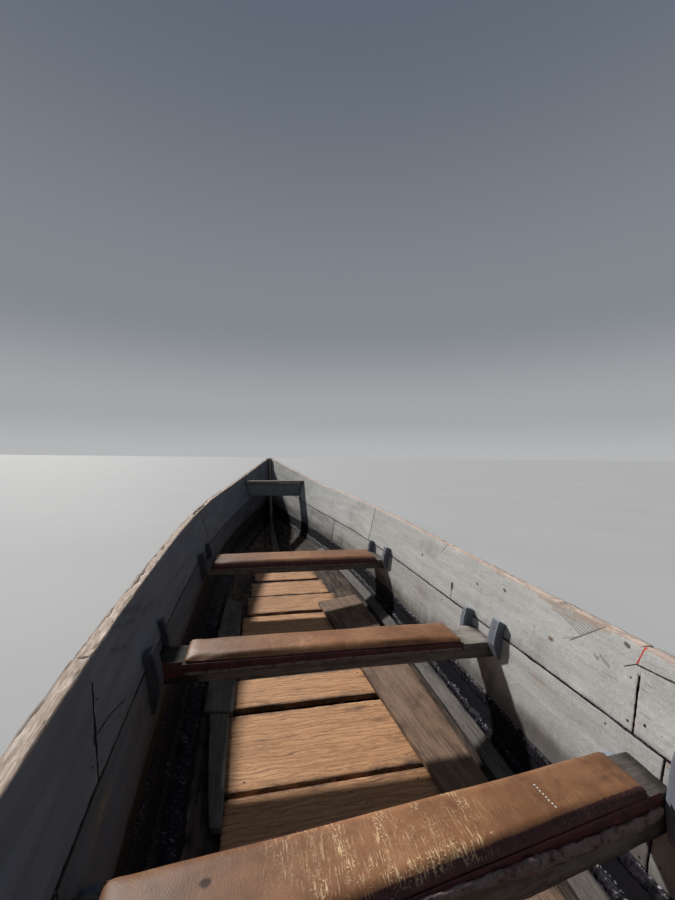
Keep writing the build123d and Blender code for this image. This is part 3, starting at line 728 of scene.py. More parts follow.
def tar_surface(name, pale=0.330):
    """Pitch pressed into the seams: black and lumpy, with small painted glints in a pale grey."""
    s = Surface(name)
    O = s.place()
    lump = s.noise(O, 44.0, 3.0, 0.55, 0.6)
    small = s.noise(O, 230.0, 3.0, 0.6)
    cell = s.cells(O, 115.0)
    colour = s.mix(s.span(lump, 0.35, 0.70), (0.0050, 0.0048, 0.0072), (0.0150, 0.0125, 0.0190))
    # pale flecks on upward faces are painted glints; pale sets their grey
    up = s.split(s.geometry_normal())[2]
    fleck = s.noise(O, 125.0, 2.0, 0.5)
    patch = s.span(s.noise(O, 13.0, 3.0, 0.6), 0.44, 0.60, 0.12, 1.0)
    painted_glint = s.math("MULTIPLY", s.math("MULTIPLY", s.span(fleck, 0.56, 0.64), s.span(up, 0.50, 0.82)), patch)
    colour = s.mix(s.math("MULTIPLY", painted_glint, 0.80), colour, (pale, pale, pale * 1.08))
    height = s.add(s.math("MULTIPLY", small, 0.55), cell, -0.6)
    height = s.add(height, lump, 0.5)
    glint = s.math("MULTIPLY", s.span(cell, 0.10, 0.30, 1.0, 0.0), s.span(small, 0.44, 0.60))
    rough = s.span(glint, 0.0, 1.0, 0.64, 0.22, False)
    return s.finish(colour, rough, s.bump(height, 0.0026, 0.9), 0.10)


def vinyl(name):
    """Brown leathercloth gone pink and scuffed on top, dark burgundy at the sides, partly as painted shade.
    grain: x, y along and across the pad, z down its side (metres).
    mask: r scuff, g grime (on the near pad's starboard end a painted shadow), b burgundy and painted shade, a tone
    (darker pad ends: painted shade)."""
    s = Surface(name)
    G, O, M = s.attr("grain"), s.place(), s.attr("mask", "Color")
    n = s.t.nodes.new("ShaderNodeSeparateColor")
    s.put(n.inputs[0], M)
    tone = s.attr("mask", "Alpha")
    wide = s.noise(G, 7.0, 4.0, 0.6)
    mid = s.noise(G, 34.0, 4.0, 0.6)
    brush = s.noise(s.scaled(G, (42.0, 9.0, 9.0)), 1.0, 4.0, 0.65)
    colour = s.mix(s.span(wide, 0.32, 0.68), (0.208, 0.091, 0.040), (0.312, 0.145, 0.068))
    colour = s.mix(s.span(mid, 0.42, 0.74, 0.0, 0.50), colour, (0.140, 0.060, 0.030))
    colour = s.mix(s.span(brush, 0.52, 0.74, 0.0, 0.24), colour, (0.400, 0.228, 0.130))
    # the sides darken to burgundy: part the cover's colour, part painted shade
    side = s.span(s.add(n.outputs[2], s.math("SUBTRACT", mid, 0.5), 0.35), 0.35, 0.65)
    red = s.mix(s.span(mid, 0.40, 0.70), (0.085, 0.024, 0.026), (0.042, 0.017, 0.017))
    colour = s.mix(side, colour, red)
    # scuffs: bundles of fine slanting scratches where the top is rubbed
    T = s.t.nodes.new("ShaderNodeMapping")
    s.put(T.inputs["Vector"], G)
    T.inputs["Rotation"].default_value = (0, 0, math.radians(-14))
    T.inputs["Scale"].default_value = (250.0, 26.0, 26.0)
    scratch = s.noise(T.outputs[0], 1.0, 3.0, 0.65)
    T2 = s.t.nodes.new("ShaderNodeMapping")
    s.put(T2.inputs["Vector"], G)
    T2.inputs["Rotation"].default_value = (0, 0, math.radians(22))
    T2.inputs["Scale"].default_value = (290.0, 34.0, 34.0)
    scratch2 = s.noise(T2.outputs[0], 1.0, 3.0, 0.65)
    dots = s.noise(G, 300.0, 2.0, 0.5)
    rub = s.math("MULTIPLY", n.outputs[0], s.span(s.noise(G, 40.0, 3.0, 0.6), 0.34, 0.58), clamp=True)
    line = s.math("MAXIMUM", s.span(scratch, 0.54, 0.64), s.span(scratch2, 0.57, 0.67, 0.0, 0.8))
    line = s.math("MAXIMUM", line, s.math("MULTIPLY", s.span(dots, 0.55, 0.66), s.span(brush, 0.40, 0.54)))
    worn = s.math("MULTIPLY", line, rub)
    colour = s.mix(s.math("MULTIPLY", worn, 0.90), colour, (0.760, 0.540, 0.300))
    colour = s.mix(s.math("MULTIPLY", s.span(s.noise(G, 120.0, 2.0), 0.68, 0.74), 0.25), colour, (0.50, 0.38, 0.28))
    grime = s.span(s.add(n.outputs[1], s.math("SUBTRACT", mid, 0.5), 0.9), 0.25, 0.95, 0.0, 0.8)
    colour = s.mix(grime, colour, (0.030, 0.018, 0.016))
    leather = s.cells(G, 620.0, "F1")
    height = s.add(s.math("MULTIPLY", leather, -0.5), mid, 0.8)
    height = s.add(height, worn, -0.5)
    toned = s.vmath("SCALE", colour, scale=tone)
    rough = s.span(s.math("MAXIMUM", worn, grime), 0.0, 1.0, 0.50, 0.75, False)
    return s.finish(toned, rough, s.bump(height, 0.0005, 0.8), 0.23)


def metal_rust(name):
    s = Surface(name)
    O = s.place()
    a = s.noise(O, 260.0, 4.0, 0.6)
    colour = s.mix(s.span(a, 0.35, 0.65), (0.035, 0.026, 0.022), (0.100, 0.050, 0.030))
    return s.finish(colour, s.span(a, 0.3, 0.7, 0.55, 0.85), s.bump(a, 0.0006, 0.8), 0.4, Metallic=0.2)


def thread(name, colour_a, colour_b):
    s = Surface(name)
    O = s.place()
    a = s.noise(O, 900.0, 3.0, 0.6)
    return s.finish(s.mix(s.span(a, 0.35, 0.65), colour_a, colour_b), 0.85, s.bump(a, 0.0004, 0.8), 0.2)


def backing(name):
    """Woven backing of the leathercloth, twisted: grey pink with red showing between."""
    s = Surface(name)
    G, O = s.attr("grain"), s.place()
    strand = s.noise(s.scaled(O, (300.0, 900.0, 900.0)), 1.0, 3.0, 0.6)
    weave = s.noise(O, 1300.0, 2.0, 0.5)
    wide = s.noise(O, 42.0, 4.0, 0.6)
    colour = s.mix(s.span(strand, 0.34, 0.66), (0.120, 0.086, 0.082), (0.235, 0.182, 0.172))
    colour = s.mix(s.span(wide, 0.48, 0.66, 0.0, 0.75), colour, (0.070, 0.030, 0.030))
    colour = s.mix(s.span(s.noise(O, 90.0, 3.0), 0.56, 0.70, 0.0, 0.6), colour, (0.030, 0.022, 0.021))
    height = s.add(strand, weave, 0.6)
    return s.finish(colour, 0.90, s.bump(height, 0.0006, 0.9), 0.15)


# the port paint is a darker copy of the starboard paint: painted shade
PAINT = {1: painted_wood("paint_starboard", True), -1: painted_wood("paint_port_shaded", False)}
HULLWOOD = bare_wood("hull_wood", (0.150, 0.115, 0.088), (0.092, 0.068, 0.052), (0.040, 0.029, 0.023),
                     dirt=(0.012, 0.0105, 0.0115), rough=0.78, wet=0.5, spec=0.03)
THWARTWOOD = bare_wood("thwart_wood", (0.185, 0.170, 0.155), (0.120, 0.106, 0.094), (0.056, 0.046, 0.039),
                       dirt=(0.036, 0.029, 0.025), spec=0.12)
BOARDWOOD = {1: bare_wood("board_wood_brown", (0.235, 0.150, 0.100), (0.165, 0.100, 0.066), (0.075, 0.043, 0.029),
                          dirt=(0.028, 0.019, 0.015), wet=0.4, sway=0.016),
             -1: bare_wood("board_wood_grey", (0.135, 0.122, 0.110), (0.092, 0.080, 0.072), (0.042, 0.035, 0.031),
                           dirt=(0.022, 0.019, 0.018), wet=0.4, sway=0.012)}
FLOORWOOD = bare_wood("floor_wood", (0.545, 0.305, 0.155), (0.410, 0.208, 0.098), (0.205, 0.092, 0.042),
                      grain=(11.0, 260.0, 260.0), ring=17.0, ring_k=0.45, dirt=(0.050, 0.030, 0.020), rough=0.74,
                      wet=0.3, sway=0.045)
TAR = tar_surface("tar")
# the port tar has dimmer painted glints: painted shade
TAR_SHADED = tar_surface("tar_port_shaded", 0.130)
VINYL = vinyl("vinyl")
RUST = metal_rust("rusty_nail")
WHITE_THREAD = thread("white_thread", (0.78, 0.76, 0.70), (0.60, 0.57, 0.50))
FRAY = thread("frayed_backing", (0.14, 0.11, 0.10), (0.26, 0.21, 0.19))
HEM = backing("turned_hem")


def done(ob, mat, slot, *replaced):
    ob.data.materials.clear()
    ob.data.materials.append(mat)
    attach(ob, "root")
    if replaced:
        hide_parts(*replaced)
    return ob


# ---------------------------------------------------------------------------
# Planking
# ---------------------------------------------------------------------------
def fine_stations(y0, y1, k=1.0):
    ys, y = [y0], y0
    while True:
        if y < -2150:
            h = 42.0
        elif y < -330:
            h = 9.0
        elif y < 900:
            h = 15.0
        else:
            h = 30.0
        y += h * k
        if y >= y1 - 2:
            break
        ys.append(y)
    return ys + [y1]


def bump_at(y, centre, half, soft):
    return step(half + soft - np.abs(y - centre), 0, soft)


def strake_piece(name, index, side, y0, y1, slant0, slant1, seed):
    top, port = index == 0, side < 0
    counts = {0: (34, 1, 10, 7), 1: (34, 1, 10, 1), 2: (12, 1, 5, 1), 3: (22, 1, 12, 1)}[index]
    k = {0: 1.0, 1: 1.0, 2: 1.7, 3: 3.0}[index]
    us = fine_stations(y0, y1, k)
    zm0 = inner_line(y0)[index:index + 2, 1].mean()
    zm1 = inner_line(y1)[index:index + 2, 1].mean()

    def width(u):
        p = inner_line(u)
        return np.linalg.norm(p[:, index + 1] - p[:, index], axis=-1)

    def to_space(u, a, b):
        w = width(u[:, 0])[:, None]
        v = a / w

        def at(y):
            I, O = inner_line(y), outer_line(y)
            i = I[..., index, :] + (I[..., index + 1, :] - I[..., index, :]) * v[..., None]
            o = O[..., index, :] + (O[..., index + 1, :] - O[..., index, :]) * v[..., None]
            return i + (o - i) * (b / PLANK_T)[..., None]

        q = at(u)
        near0 = np.clip(1 - (u - y0) / 300.0, 0, 1)
        near1 = np.clip(1 - (y1 - u) / 300.0, 0, 1)
        y = u + slant0 * (q[..., 1] - zm0) * near0 + slant1 * (q[..., 1] - zm1) * near1
        y = np.clip(y, STERN_Y, BOW_Y)
        q = at(y)
        return place(y, q[..., 0], q[..., 1], side)

    def depth(u, a, b, na, nb):
        w = width(u[:, 0])[:, None]
        d = 0.9 * fbm(u / 420, a / 90, b / 60, seed, 3)
        d = d + 0.45 * fbm(u / 70, a / 16, b / 16, seed + 3, 2) + 0.3 * fbm(u / 160, a / 5.5, b / 5.5, seed + 5, 2)
        inner = np.clip(-nb, 0, 1)
        outer = np.clip(nb, 0, 1)
        # ragged lips along the seams
        lip = np.exp(-np.minimum(a, w - a) / 5.0)
        d = d + inner * lip * np.clip(fbm(u / 26, 0, 0, seed + 9, 3) * 2.6 + 0.4, 0, 4)
        # shallow dents
        d = d + inner * 2.2 * np.clip(fbm(u / 95, a / 45, 0, seed + 11, 2) - 0.42, 0, 1)
        d = d + outer * (1.0 * fbm(u / 260, a / 40, 0, seed + 13, 3) + 0.6)
        if top:
            up = np.clip(-na, 0, 1)
            rough_k = 1.25 if port else 0.75
            wear = 1.6 + 2.1 * fbm(u / 46, b / 14, 0, seed + 21, 3) + 1.6 * np.abs(fbm(u / 15, b / 4.5, 0, seed + 22, 2))
            bite = np.clip(fbm(u / 120, 0, 0, seed + 23, 3) - 0.22, 0, 1) * 16
            wear = wear + bite * step(b, 8, 30)
            outer_lip = step(b, 24, 35) * (2.0 + 5.0 * np.clip(fbm(u / 33, 0, 0, seed + 27, 3) + 0.15, 0, 1))
            inner_lip = (1 - step(b, 0, 9)) * 2.6 * np.clip(fbm(u / 28, 0, 0, seed + 29, 3) + 0.1, 0, 1)
            d = d + up * rough_k * (wear + outer_lip + inner_lip)
            if port:
                jag = 0.55 + 0.45 * fbm(u / 55, b / 20, 0, seed + 31, 3)
                d = d + up * 22 * bump_at(u, 985, 190, 60) * jag
                d = d + up * 9 * bump_at(u, -330, 30, 25) * jag
            else:
                d = d + up * 7 * bump_at(u, -905, 18, 16)
            # the outer face pulls in near its ragged top
            d = d + outer * np.exp(-a / 7.0) * (1.5 + 3.0 * np.clip(fbm(u / 33, 0, 0, seed + 27, 3) + 0.15, 0, 1)) * rough_k
        if index == 2:
            d = d + inner * (-1.6 * np.abs(fbm(u / 26, a / 22, 0, seed + 41, 3)))
        return np.where(np.abs(d) > 0, d, 0) + 0.3

    def masks(u, a, b, na, nb):
        w = width(u[:, 0])[:, None]
        inner = np.clip(-nb, 0, 1)
        n = fbm(u / 60, a / 25, 0, seed + 51, 3)
        n2 = fbm(u / 300, a / 60, 0, seed + 52, 3)
        bare = np.zeros_like(a)
        grime = np.zeros_like(a)
        tar = np.zeros_like(a)
        if index == 0:
            edge = np.exp(-a / (9.0 if port else 6.0))
            bare = np.maximum(edge * 1.1, np.clip(-na, 0, 1))
            bare = np.maximum(bare, 0.75 * np.exp(-np.clip(w - a, 0, 99) / 5.0))
            bare = bare + 0.30 * np.clip(n2, 0, 1) * (1.0 if port else 0.6)
            grime = 0.12 + 0.30 * np.clip(fbm(u / 400, 0, 0, seed + 53, 2), 0, 1) + 0.25 * step(u, 1500, 3200)
            grime = grime + 0.35 * np.exp(-(w - a) / 14.0)
            tar = np.clip(0.9 * np.exp(-(w - a) / 3.0) + 0.2 * n, 0, 1) * inner
        elif index == 1:
            v = a / w
            grime = 0.22 + 0.75 * step(v, 0.35, 1.0) + 0.2 * n2 + 0.2 * step(u, 1300, 2800)
            # the port lower strake is darkened further: painted shade
            if port:
                grime = grime + 0.12
            bare = 0.20 + 0.35 * np.clip(n2 + 0.2, 0, 1)
            low = 0.95 * step(a, w - 74, w - 48) if port else 0.95 * np.exp(-(w - a) / 16.0)
            tar = np.clip(0.85 * np.exp(-a / 4.0) + low + 0.22 * n, 0, 1) * inner
        elif index == 2:
            tar = inner * (0.95 + 0.20 * n)
            grime = 0.8 + 0.3 * n
        else:
            grime = 0.55 + 0.4 * n
            low = 0.95 * (1 - step(a, 52, 74)) if port else 0.9 * np.exp(-a / 22.0)
            tar = inner * np.clip(low + 0.2 * n, 0, 1)
        ends = np.exp(-np.minimum(u - y0, y1 - u) / 6.0)
        if index < 2:
            bare = np.maximum(bare, 0.8 * ends * inner)
        tone = 0.97 + 0.10 * noise(seed * 3.7, 1.5, 0.2, 7)
        # the lower strake is toned down, on the port side as painted shade
        if index == 1:
            tone = tone * (0.62 if port else 0.88)
        # the gunwale's top face is brightened, more on the port side: painted highlight
        if top:
            tone = tone * (1 + (0.55 if port else 0.25) * np.clip(-na, 0, 1))
        return np.stack([bare, grime, tar, tone + 0 * a], -1)

    r_seam = lambda u: 3.2 + 1.2 * fbm(u / 40, 0, 0, seed + 61, 2)
    r_top = lambda u: 4.0 + 2.0 * fbm(u / 50, 0, 0, seed + 62, 2)
    radii = (r_top, r_seam, 3.0, r_top) if top else (r_seam, r_seam, 3.0, 3.0)
    ob = bar(name + "_wood", us, width, lambda u: PLANK_T + 0 * u, to_space, radii, counts, 3.0, depth, masks,
             offset=seed * 0.37)
    mat = PAINT[side] if index < 2 else HULLWOOD
    done(ob, mat, "painted_wood" if index < 2 else "hull_wood", name)
    return ob


seed = 11
for index, strake in enumerate(["upper_strake", "lower_strake", "bilge_plank", "bottom_plank"]):
    for side, word, cuts in ((-1, "port", JOINTS[strake][0]), (1, "starboard", JOINTS[strake][1])):
        ends = [(STERN_Y, 0.0)] + list(cuts) + [(BOW_Y, 0.0)]
        for k, tail in enumerate(TAILS):
            (ya, sa), (yb, sb) = ends[k], ends[k + 1]
            strake_piece(f"{strake}_{word}{tail}", index, side, ya + (BUTT_GAP / 2 if k else 0),
                         yb - (BUTT_GAP / 2 if k < 2 else 0), sa, sb, seed)
            seed += 7


# ---------------------------------------------------------------------------
# Pitch in the seams
# ---------------------------------------------------------------------------
def seam_point(index, side, y, along=0.0, off=0.0):
    """A point at seam index: along mm down the plank below (up if negative), off mm into the boat."""
    y = np.asarray(y, float)
    p = inner_line(y)
    n = normals_out(p)
    mid = p[..., index, :]
    down = p[..., index + 1, :] - mid
    down /= np.linalg.norm(down, axis=-1, keepdims=True)
    up = p[..., index - 1, :] - mid
    up /= np.linalg.norm(up, axis=-1, keepdims=True)
    al = np.asarray(along, float)[..., None]
    q = mid + np.where(al >= 0, down * al, up * -al)
    m = np.where(al >= 0, n[..., index, :], n[..., index - 1, :])
    q = q - m * np.asarray(off, float)[..., None]
    return place(y, q[..., 0], q[..., 1], side)


def seam_strip(index, side, y0, y1, reach, thick, step_mm, seed, lumps=1.0, chain=False):
    """A closed strip of pitch lying over a seam, domed and lumpy. reach is mm up, mm down."""
    n_across = max(9, int((reach[0] + reach[1]) / 5.5) | 1) if step_mm < 15 else 9
    ys = np.arange(y0, y1 + 1e-6, step_mm)
    s = np.linspace(-1, 1, n_across)
    Y, S = ys[:, None] + 0 * s[None], s[None] + 0 * ys[:, None]
    hw = np.where(S < 0, reach[0], reach[1]) * (1 + 0.26 * fbm(Y / 48, np.sign(S) * 3, 0, seed, 3) + 0.10 * fbm(Y / 13, np.sign(S) * 3, 0, seed + 1, 2))
    along = S * hw
    crown = np.clip(1 - S**2, 0, 1) ** 0.42
    lump = np.abs(fbm(Y / 25, along / 21, 0, seed + 4, 2))
    if chain:
        ridge = np.abs(np.sin(math.pi * (Y / 17.0 + 1.1 * fbm(Y / 60, 0, 0, seed + 8, 2) + 0.010 * along)))
        lump = 0.50 * lump + 0.85 * ridge ** 1.6 * (0.75 + 0.6 * fbm(Y / 30, along / 12, 0, seed + 9, 2))
    h = crown * (thick * 0.42 + thick * 1.25 * lumps * lump + lumps * 1.3 * np.clip(fbm(Y / 9, along / 8, 0, seed + 6, 2), -0.4, 1))
    h = np.clip(h, 0.4, thick * (2.1 if chain else 1.55))
    end = np.clip(np.minimum(Y - y0, y1 - Y) / 12.0, 0.15, 1)
    topp = seam_point(index, side, Y, along, h * end)
    low = seam_point(index, side, Y, along * 0.97, -0.8 + 0 * h)
    ring = np.concatenate([topp, low[:, ::-1]], 1)
    nu, nr = ring.shape[:2]
    idx = np.arange(nu * nr).reshape(nu, nr)
    q = np.stack([idx[:-1], np.roll(idx, -1, 1)[:-1], np.roll(idx, -1, 1)[1:], idx[1:]], -1).reshape(-1, 4)
    if side > 0:
        q = q[:, ::-1]
    verts = ring.reshape(-1, 3)
    caps = []
    for row in (0, nu - 1):
        ci = len(verts)
        verts = np.vstack([verts, ring[row].mean(0)[None]])
        tri = np.stack([np.full(nr, ci), np.roll(idx[row], -1), idx[row]], -1)
        flip = (row == 0) == (side > 0)
        caps.append(tri[:, ::-1] if flip else tri)
    return verts, [q, np.concatenate(caps)], {"grain": verts.copy(), "mask": np.tile([0, 0, 0, 1.0], (len(verts), 1))}


def strips(index, side, y0, y1, reach, thick, seed, lumps):
    cuts = [y for y in (-2100.0, 300.0, 1200.0) if y0 < y < y1]
    edges = [y0] + cuts + [y1]
    out = []
    for a, b in zip(edges[:-1], edges[1:]):
        mid = (a + b) / 2
        h = 34.0 if mid < -2100 else 5.0 if mid < 300 else 12.0 if mid < 1200 else 26.0
        h = h * 2 if index == 1 else h
        out.append(seam_strip(index, side, a, b, reach, thick, h, seed, lumps, chain=-2100 < mid < 300 and index > 1))
    return out


for side, word in ((-1, "port"), (1, "starboard")):
    parts = strips(2, side, -4150.0, 3350.0, CAULK[side, 2], CAULK_T, 301 + side, 1.0)
    parts += strips(3, side, -4150.0, 3350.0, CAULK[side, 3], CAULK_T * 1.05, 331 + side, 1.15)
    ob = joined(f"seam_pitch_{word}", parts)
    done(ob, TAR if side > 0 else TAR_SHADED, "tar", f"seam_caulking_{word}")
    # the upper seam has only a thin line of it
    thin = strips(1, side, -4200.0, 3900.0, (3.0, 3.0) if side < 0 else (2.2, 2.2), 1.5, 371 + side, 0.6)
    done(joined(f"upper_seam_pitch_{word}", thin), TAR, "tar")


def joint_bead(name, index, side, y_joint, slant, half, seed, top=None):
    """Pitch squeezed into a butt joint."""
    p = inner_line(y_joint)
    z0, z1 = p[index, 1] - 3.0 if top is None else top, p[index + 1, 1] + 2.0
    zm = p[index:index + 2, 1].mean()
    n = 46
    zs = np.linspace(z0, z1, n)
    y = y_joint + slant * (zs - zm) + 1.4 * fbm(zs / 20, 0, 0, seed, 3)
    pts = np.stack([side * (hull_x(y, zs) + 0.6), y, zs], -1) / 1000
    r = half / 1000 * (1 + 0.7 * fbm(zs / 9, 0, 0, seed + 1, 3))
    ob = joined(name, [tube(pts, r, 8)])
    return done(ob, TAR, "tar")


for i, (index, strake) in enumerate(((0, "upper_strake"), (1, "lower_strake"))):
    for side, word, cuts in ((-1, "port", JOINTS[strake][0]), (1, "starboard", JOINTS[strake][1])):
        for k, (y, slant) in enumerate(cuts):
            top = (473.0 if side < 0 else 454.0) if index == 0 and k == 0 else None
            joint_bead(f"joint_pitch_{strake}_{word}_{k}", index, side, y, slant, 1.7, 401 + i * 20 + k * 3 + side, top)


def joint_filler(name, side, y_joint, slant, z_from, offset, seed):
    """Where the paint still covers a butt joint of the upper strake, down to z_from."""
    p = inner_line(y_joint)
    zm = p[0:2, 1].mean()
    zs = np.linspace(z_from - 4.0, p[0, 1] - 2.6, 34)
    ts = np.linspace(-1, 1, 9)
    Z, T = zs[:, None] + 0 * ts[None], ts[None] + 0 * zs[:, None]
    half = 6.5 + 1.0 * fbm(Z / 14, T * 3, 0, seed, 2)
    tip = np.clip((Z - zs[0]) / 10.0, 0.05, 1)
    Y = y_joint + slant * (Z - zm) + T * half * tip
    rise = 0.15 + 0.25 * fbm(Z / 12, Y / 12, 0, seed + 1, 2) - 1.5 * T**2 - 1.6 * step(Z, p[0, 1] - 8.0, p[0, 1])
    front = np.stack([side * (hull_x(Y, Z) - rise), Y, Z], -1)
    back = np.stack([side * (hull_x(Y, Z) + 3.2), Y, Z], -1)
    ring = np.concatenate([front, back[:, ::-1]], 1)
    nu, nr = ring.shape[:2]
    idx = np.arange(nu * nr).reshape(nu, nr)
    q = np.stack([idx[:-1], np.roll(idx, -1, 1)[:-1], np.roll(idx, -1, 1)[1:], idx[1:]], -1).reshape(-1, 4)
    verts = ring.reshape(-1, 3) / 1000
    caps = []
    for row in (0, nu - 1):
        ci = len(verts)
        verts = np.vstack([verts, verts[idx[row]].mean(0)[None]])
        tri = np.stack([np.full(nr, ci), np.roll(idx[row], -1), idx[row]], -1)
        caps.append(tri if row == 0 else tri[:, ::-1])
    tri = np.concatenate(caps)
    v0, v1, v2 = (verts[q[len(q) // 2 - nr:len(q) // 2, j]] for j in (0, 1, 2))
    c = ring[nu // 2].mean(0) / 1000
    if np.sum(np.cross(v1 - v0, v2 - v0) * (v0 - c)) < 0:
        q, tri = q[:, ::-1], tri[:, ::-1]
    w = np.linalg.norm(p[1] - p[0])
    A = (p[0, 1] - Z) / (p[0, 1] - p[1, 1]) * w
    g = np.stack([Y / 1000 + offset, A / 1000, 0 * A], -1)
    g = np.concatenate([g, g[:, ::-1]], 1).reshape(-1, 3)
    g = np.vstack([g, g[:1], g[-1:]])
    m = np.tile([0.04, 0.10, 0.0, 0.97], (len(verts), 1))
    ob = joined(name, [(verts, [q, tri], {"grain": g, "mask": m})])
    return done(ob, PAINT[side], "painted_wood")


joint_filler("joint_filler_starboard", 1, *JOINTS["upper_strake"][1][0], 457.0, 39 * 0.37, 471)
joint_filler("joint_filler_port", -1, *JOINTS["upper_strake"][0][0], 476.0, 18 * 0.37, 481)


# ---------------------------------------------------------------------------
# Thwarts, cleats
# ---------------------------------------------------------------------------
def thwart_piece(name, y_mid, width, slope, z_low, z_high, seed, ease=0.4, mat=None, slot="thwart_wood", pale=0.0,
                 bleached=None, step_mm=13.0, taper=0.0):
    T = z_high - z_low

    def to_space(u, a, b):
        z = z_high - b
        x = 550.0 * u
        for _ in range(5):
            y = y_mid + slope * x + (a / width - 0.5) * (width + taper * x)
            lim = hull_x(y, z) - ease
            x = u * lim
        return np.stack([x, y_mid + slope * x + (a / width - 0.5) * (width + taper * x), z], -1) / 1000

    def space(u, a, b):
        return to_space(u / 1000.0, a, b)

    def depth(u, a, b, na, nb):
        x = u * 0.56
        d = 1.0 * fbm(x / 240, a / 50, b / 40, seed, 3) + 0.45 * fbm(x / 60, a / 9, b / 9, seed + 1, 3)
        edge = np.exp(-np.minimum(np.minimum(a, width - a), 99) / 6.0) * np.exp(-np.minimum(b, T - b) / 6.0)
        d = d + edge * (2.0 + 5.0 * np.clip(fbm(x / 40, 0, 0, seed + 2, 3), 0, 1))
        return d + 0.5

    def masks(u, a, b, na, nb):
        x = u * 0.56
        n = fbm(x / 90, a / 40, b / 30, seed + 5, 3)
        bare = np.clip(pale + 0.25 * n, 0, 1)
        if bleached is not None:
            bare = np.maximum(bare, bleached * step(x, 430, 470) * np.clip(-nb, 0, 1))
        grime = 0.25 + 0.4 * np.clip(n, 0, 1) + 0.5 * step(np.abs(u), 930, 1000)
        # the near thwart's starboard end and the middle thwart's port end are darkened: painted shade
        tone = 1.0 - (0.35 * step(u, 780, 860) if name == "thwart_near" else 0.0)
        tone = tone - (0.80 * (1 - step(u, -800, -740)) if name == "thwart_middle" else 0.0)
        return np.stack([bare, grime, 0 * a, tone + 0 * a], -1)

    us = np.arange(-1000, 1000.1, step_mm / 0.56)
    us[-1] = 1000.0
    ob = bar(f"{name}_wood", us, lambda u: width + 0 * u, lambda u: T + 0 * u, space, (3.5, 3.5, 3.5, 3.5),
             (int(width / 8), 6, int(width / 12), 6), 1.2, depth, masks, offset=seed * 0.41)
    return done(ob, mat or THWARTWOOD, slot, name)


def cleat_parts(y_mid, side, deep, size_y, z_low, z_high, seed):
    """A sawn block on the wall: flat-cut top, foot cut away towards the wall."""
    span = z_high - z_low
    keys = [0, 0.02, 0.36, 0.375, 0.97, 1.0]

    def share(z):
        return np.interp((z - z_low) / span, keys, [0.20, 0.34, 0.98, 1.0, 1.0, 0.90])

    def to_space(u, a, b):
        y = y_mid - size_y / 2 + a
        z = u - 0.11 * span * step((u - z_low) / span, 0.80, 1.0) * np.clip(b / deep, 0, 1)
        x = side * (hull_x(y, z) - 0.4 - (deep * share(u) - b))
        lean = 0.04 * (u - (z_low + z_high) / 2) * (1 if seed % 2 else -1) * (0.5 - np.abs(a / size_y - 0.5))
        return np.stack([x, y + lean, z], -1) / 1000

    def depth(u, a, b, na, nb):
        d = 0.7 * fbm(u / 50, a / 14, b / 20, seed, 3) + 0.35 * fbm(u / 20, a / 4, b / 4, seed + 1, 2)
        nick = np.clip(fbm(u / 9, a / 40, b / 40, seed + 3, 2) - 0.15, 0, 1) * 2.6
        edge = np.exp(-np.minimum(a, size_y - a) / 2.5) * np.exp(-b / 2.5)
        wall = step(b, 0.80 * deep, deep)
        return (d + 0.5 + nick * edge) * (1 - wall)

    def masks(u, a, b, na, nb):
        n = fbm(u / 30, a / 20, b / 30, seed + 5, 3)
        # port cleats are darkened as painted shade; top faces are brightened as painted highlight
        top = np.exp(-np.clip(z_high - u, 0, 99) / 2.2)
        tone = (1.22 if side > 0 else 0.38) + (1.1 if side > 0 else 0.42) * top + 0.10 * n
        return np.stack([0.10 + 0.22 * n, 0.20 + 0.35 * np.clip(n, 0, 1) - 0.2 * top, 0 * a, tone + 0 * a], -1)

    us = np.unique(np.concatenate([np.linspace(0, 1, 26), keys])) * span + z_low
    keep = np.concatenate([[True], np.diff(us) > 0.35])
    us = us[keep]
    us[-1] = z_high
    return bar("", us, lambda u: size_y + 0 * u, lambda u: deep * share(u), to_space, (1.4, 1.4, 0.8, 0.8),
               (max(7, int(size_y / 4)), 9, 4, 9), 1.2, depth, masks, offset=seed * 0.11, build=False, arc=2)


nail_spots = []
for j, (name, y_mid, width, top, slope, pad_x0, pad_x1, thick, taper) in enumerate(THWARTS):
    plank_top = top - (PAD_T if pad_x0 is not None else 0)
    thwart_piece(f"thwart_{name}", y_mid, width, slope, plank_top - thick, plank_top, 500 + 13 * j,
                 bleached=0.5 if name == "middle" else None, taper=taper)
    cl = []
    for side in (-1, 1):
        for fore in (-1, 1):
            deep, size_y, low, high = OWN_CLEATS.get(name, CLEATS)[side, fore]
            x_side = side * (hull_x(y_mid, plank_top) - deep / 2)
            reach = abs(slope + fore * taper / 2) * (deep / 2 + 20) + 0.4
            y_c = float(y_mid + slope * x_side + fore * ((width + taper * x_side) / 2 + size_y / 2 + reach
                                                          + CLEAT_GAP.get((name, side, fore), 0.0)))
            z0, z1 = plank_top + low, plank_top + high
            cl.append(cleat_parts(y_c, side, deep, size_y, z0, z1, 600 + 17 * j + side * 3 + fore))
            for zz in (z0 + 0.36 * (z1 - z0), z1 - 0.22 * (z1 - z0)):
                x = side * (float(hull_x(y_c, zz)) - 0.4 - deep * 0.97)
                nail_spots.append(((x / 1000, y_c / 1000 + 0.002 * fore, zz / 1000), (-side, 0, 0.05)))
    done(joined(f"thwart_cleats_{name}_wood", cl), PAINT[-1], "painted_wood", f"thwart_cleats_{name}")

thwart_piece("bow_thwart", 2965.0, 130.0, 0.0, 608.0, 640.0, 700, ease=2.0, pale=0.35, step_mm=7.0)
# the bow board takes the darker port paint: painted shade
thwart_piece("bow_board", 2925.0, 26.0, 0.0, 458.0, 607.6, 720, ease=2.5, mat=PAINT[-1], slot="painted_wood", step_mm=7.0)


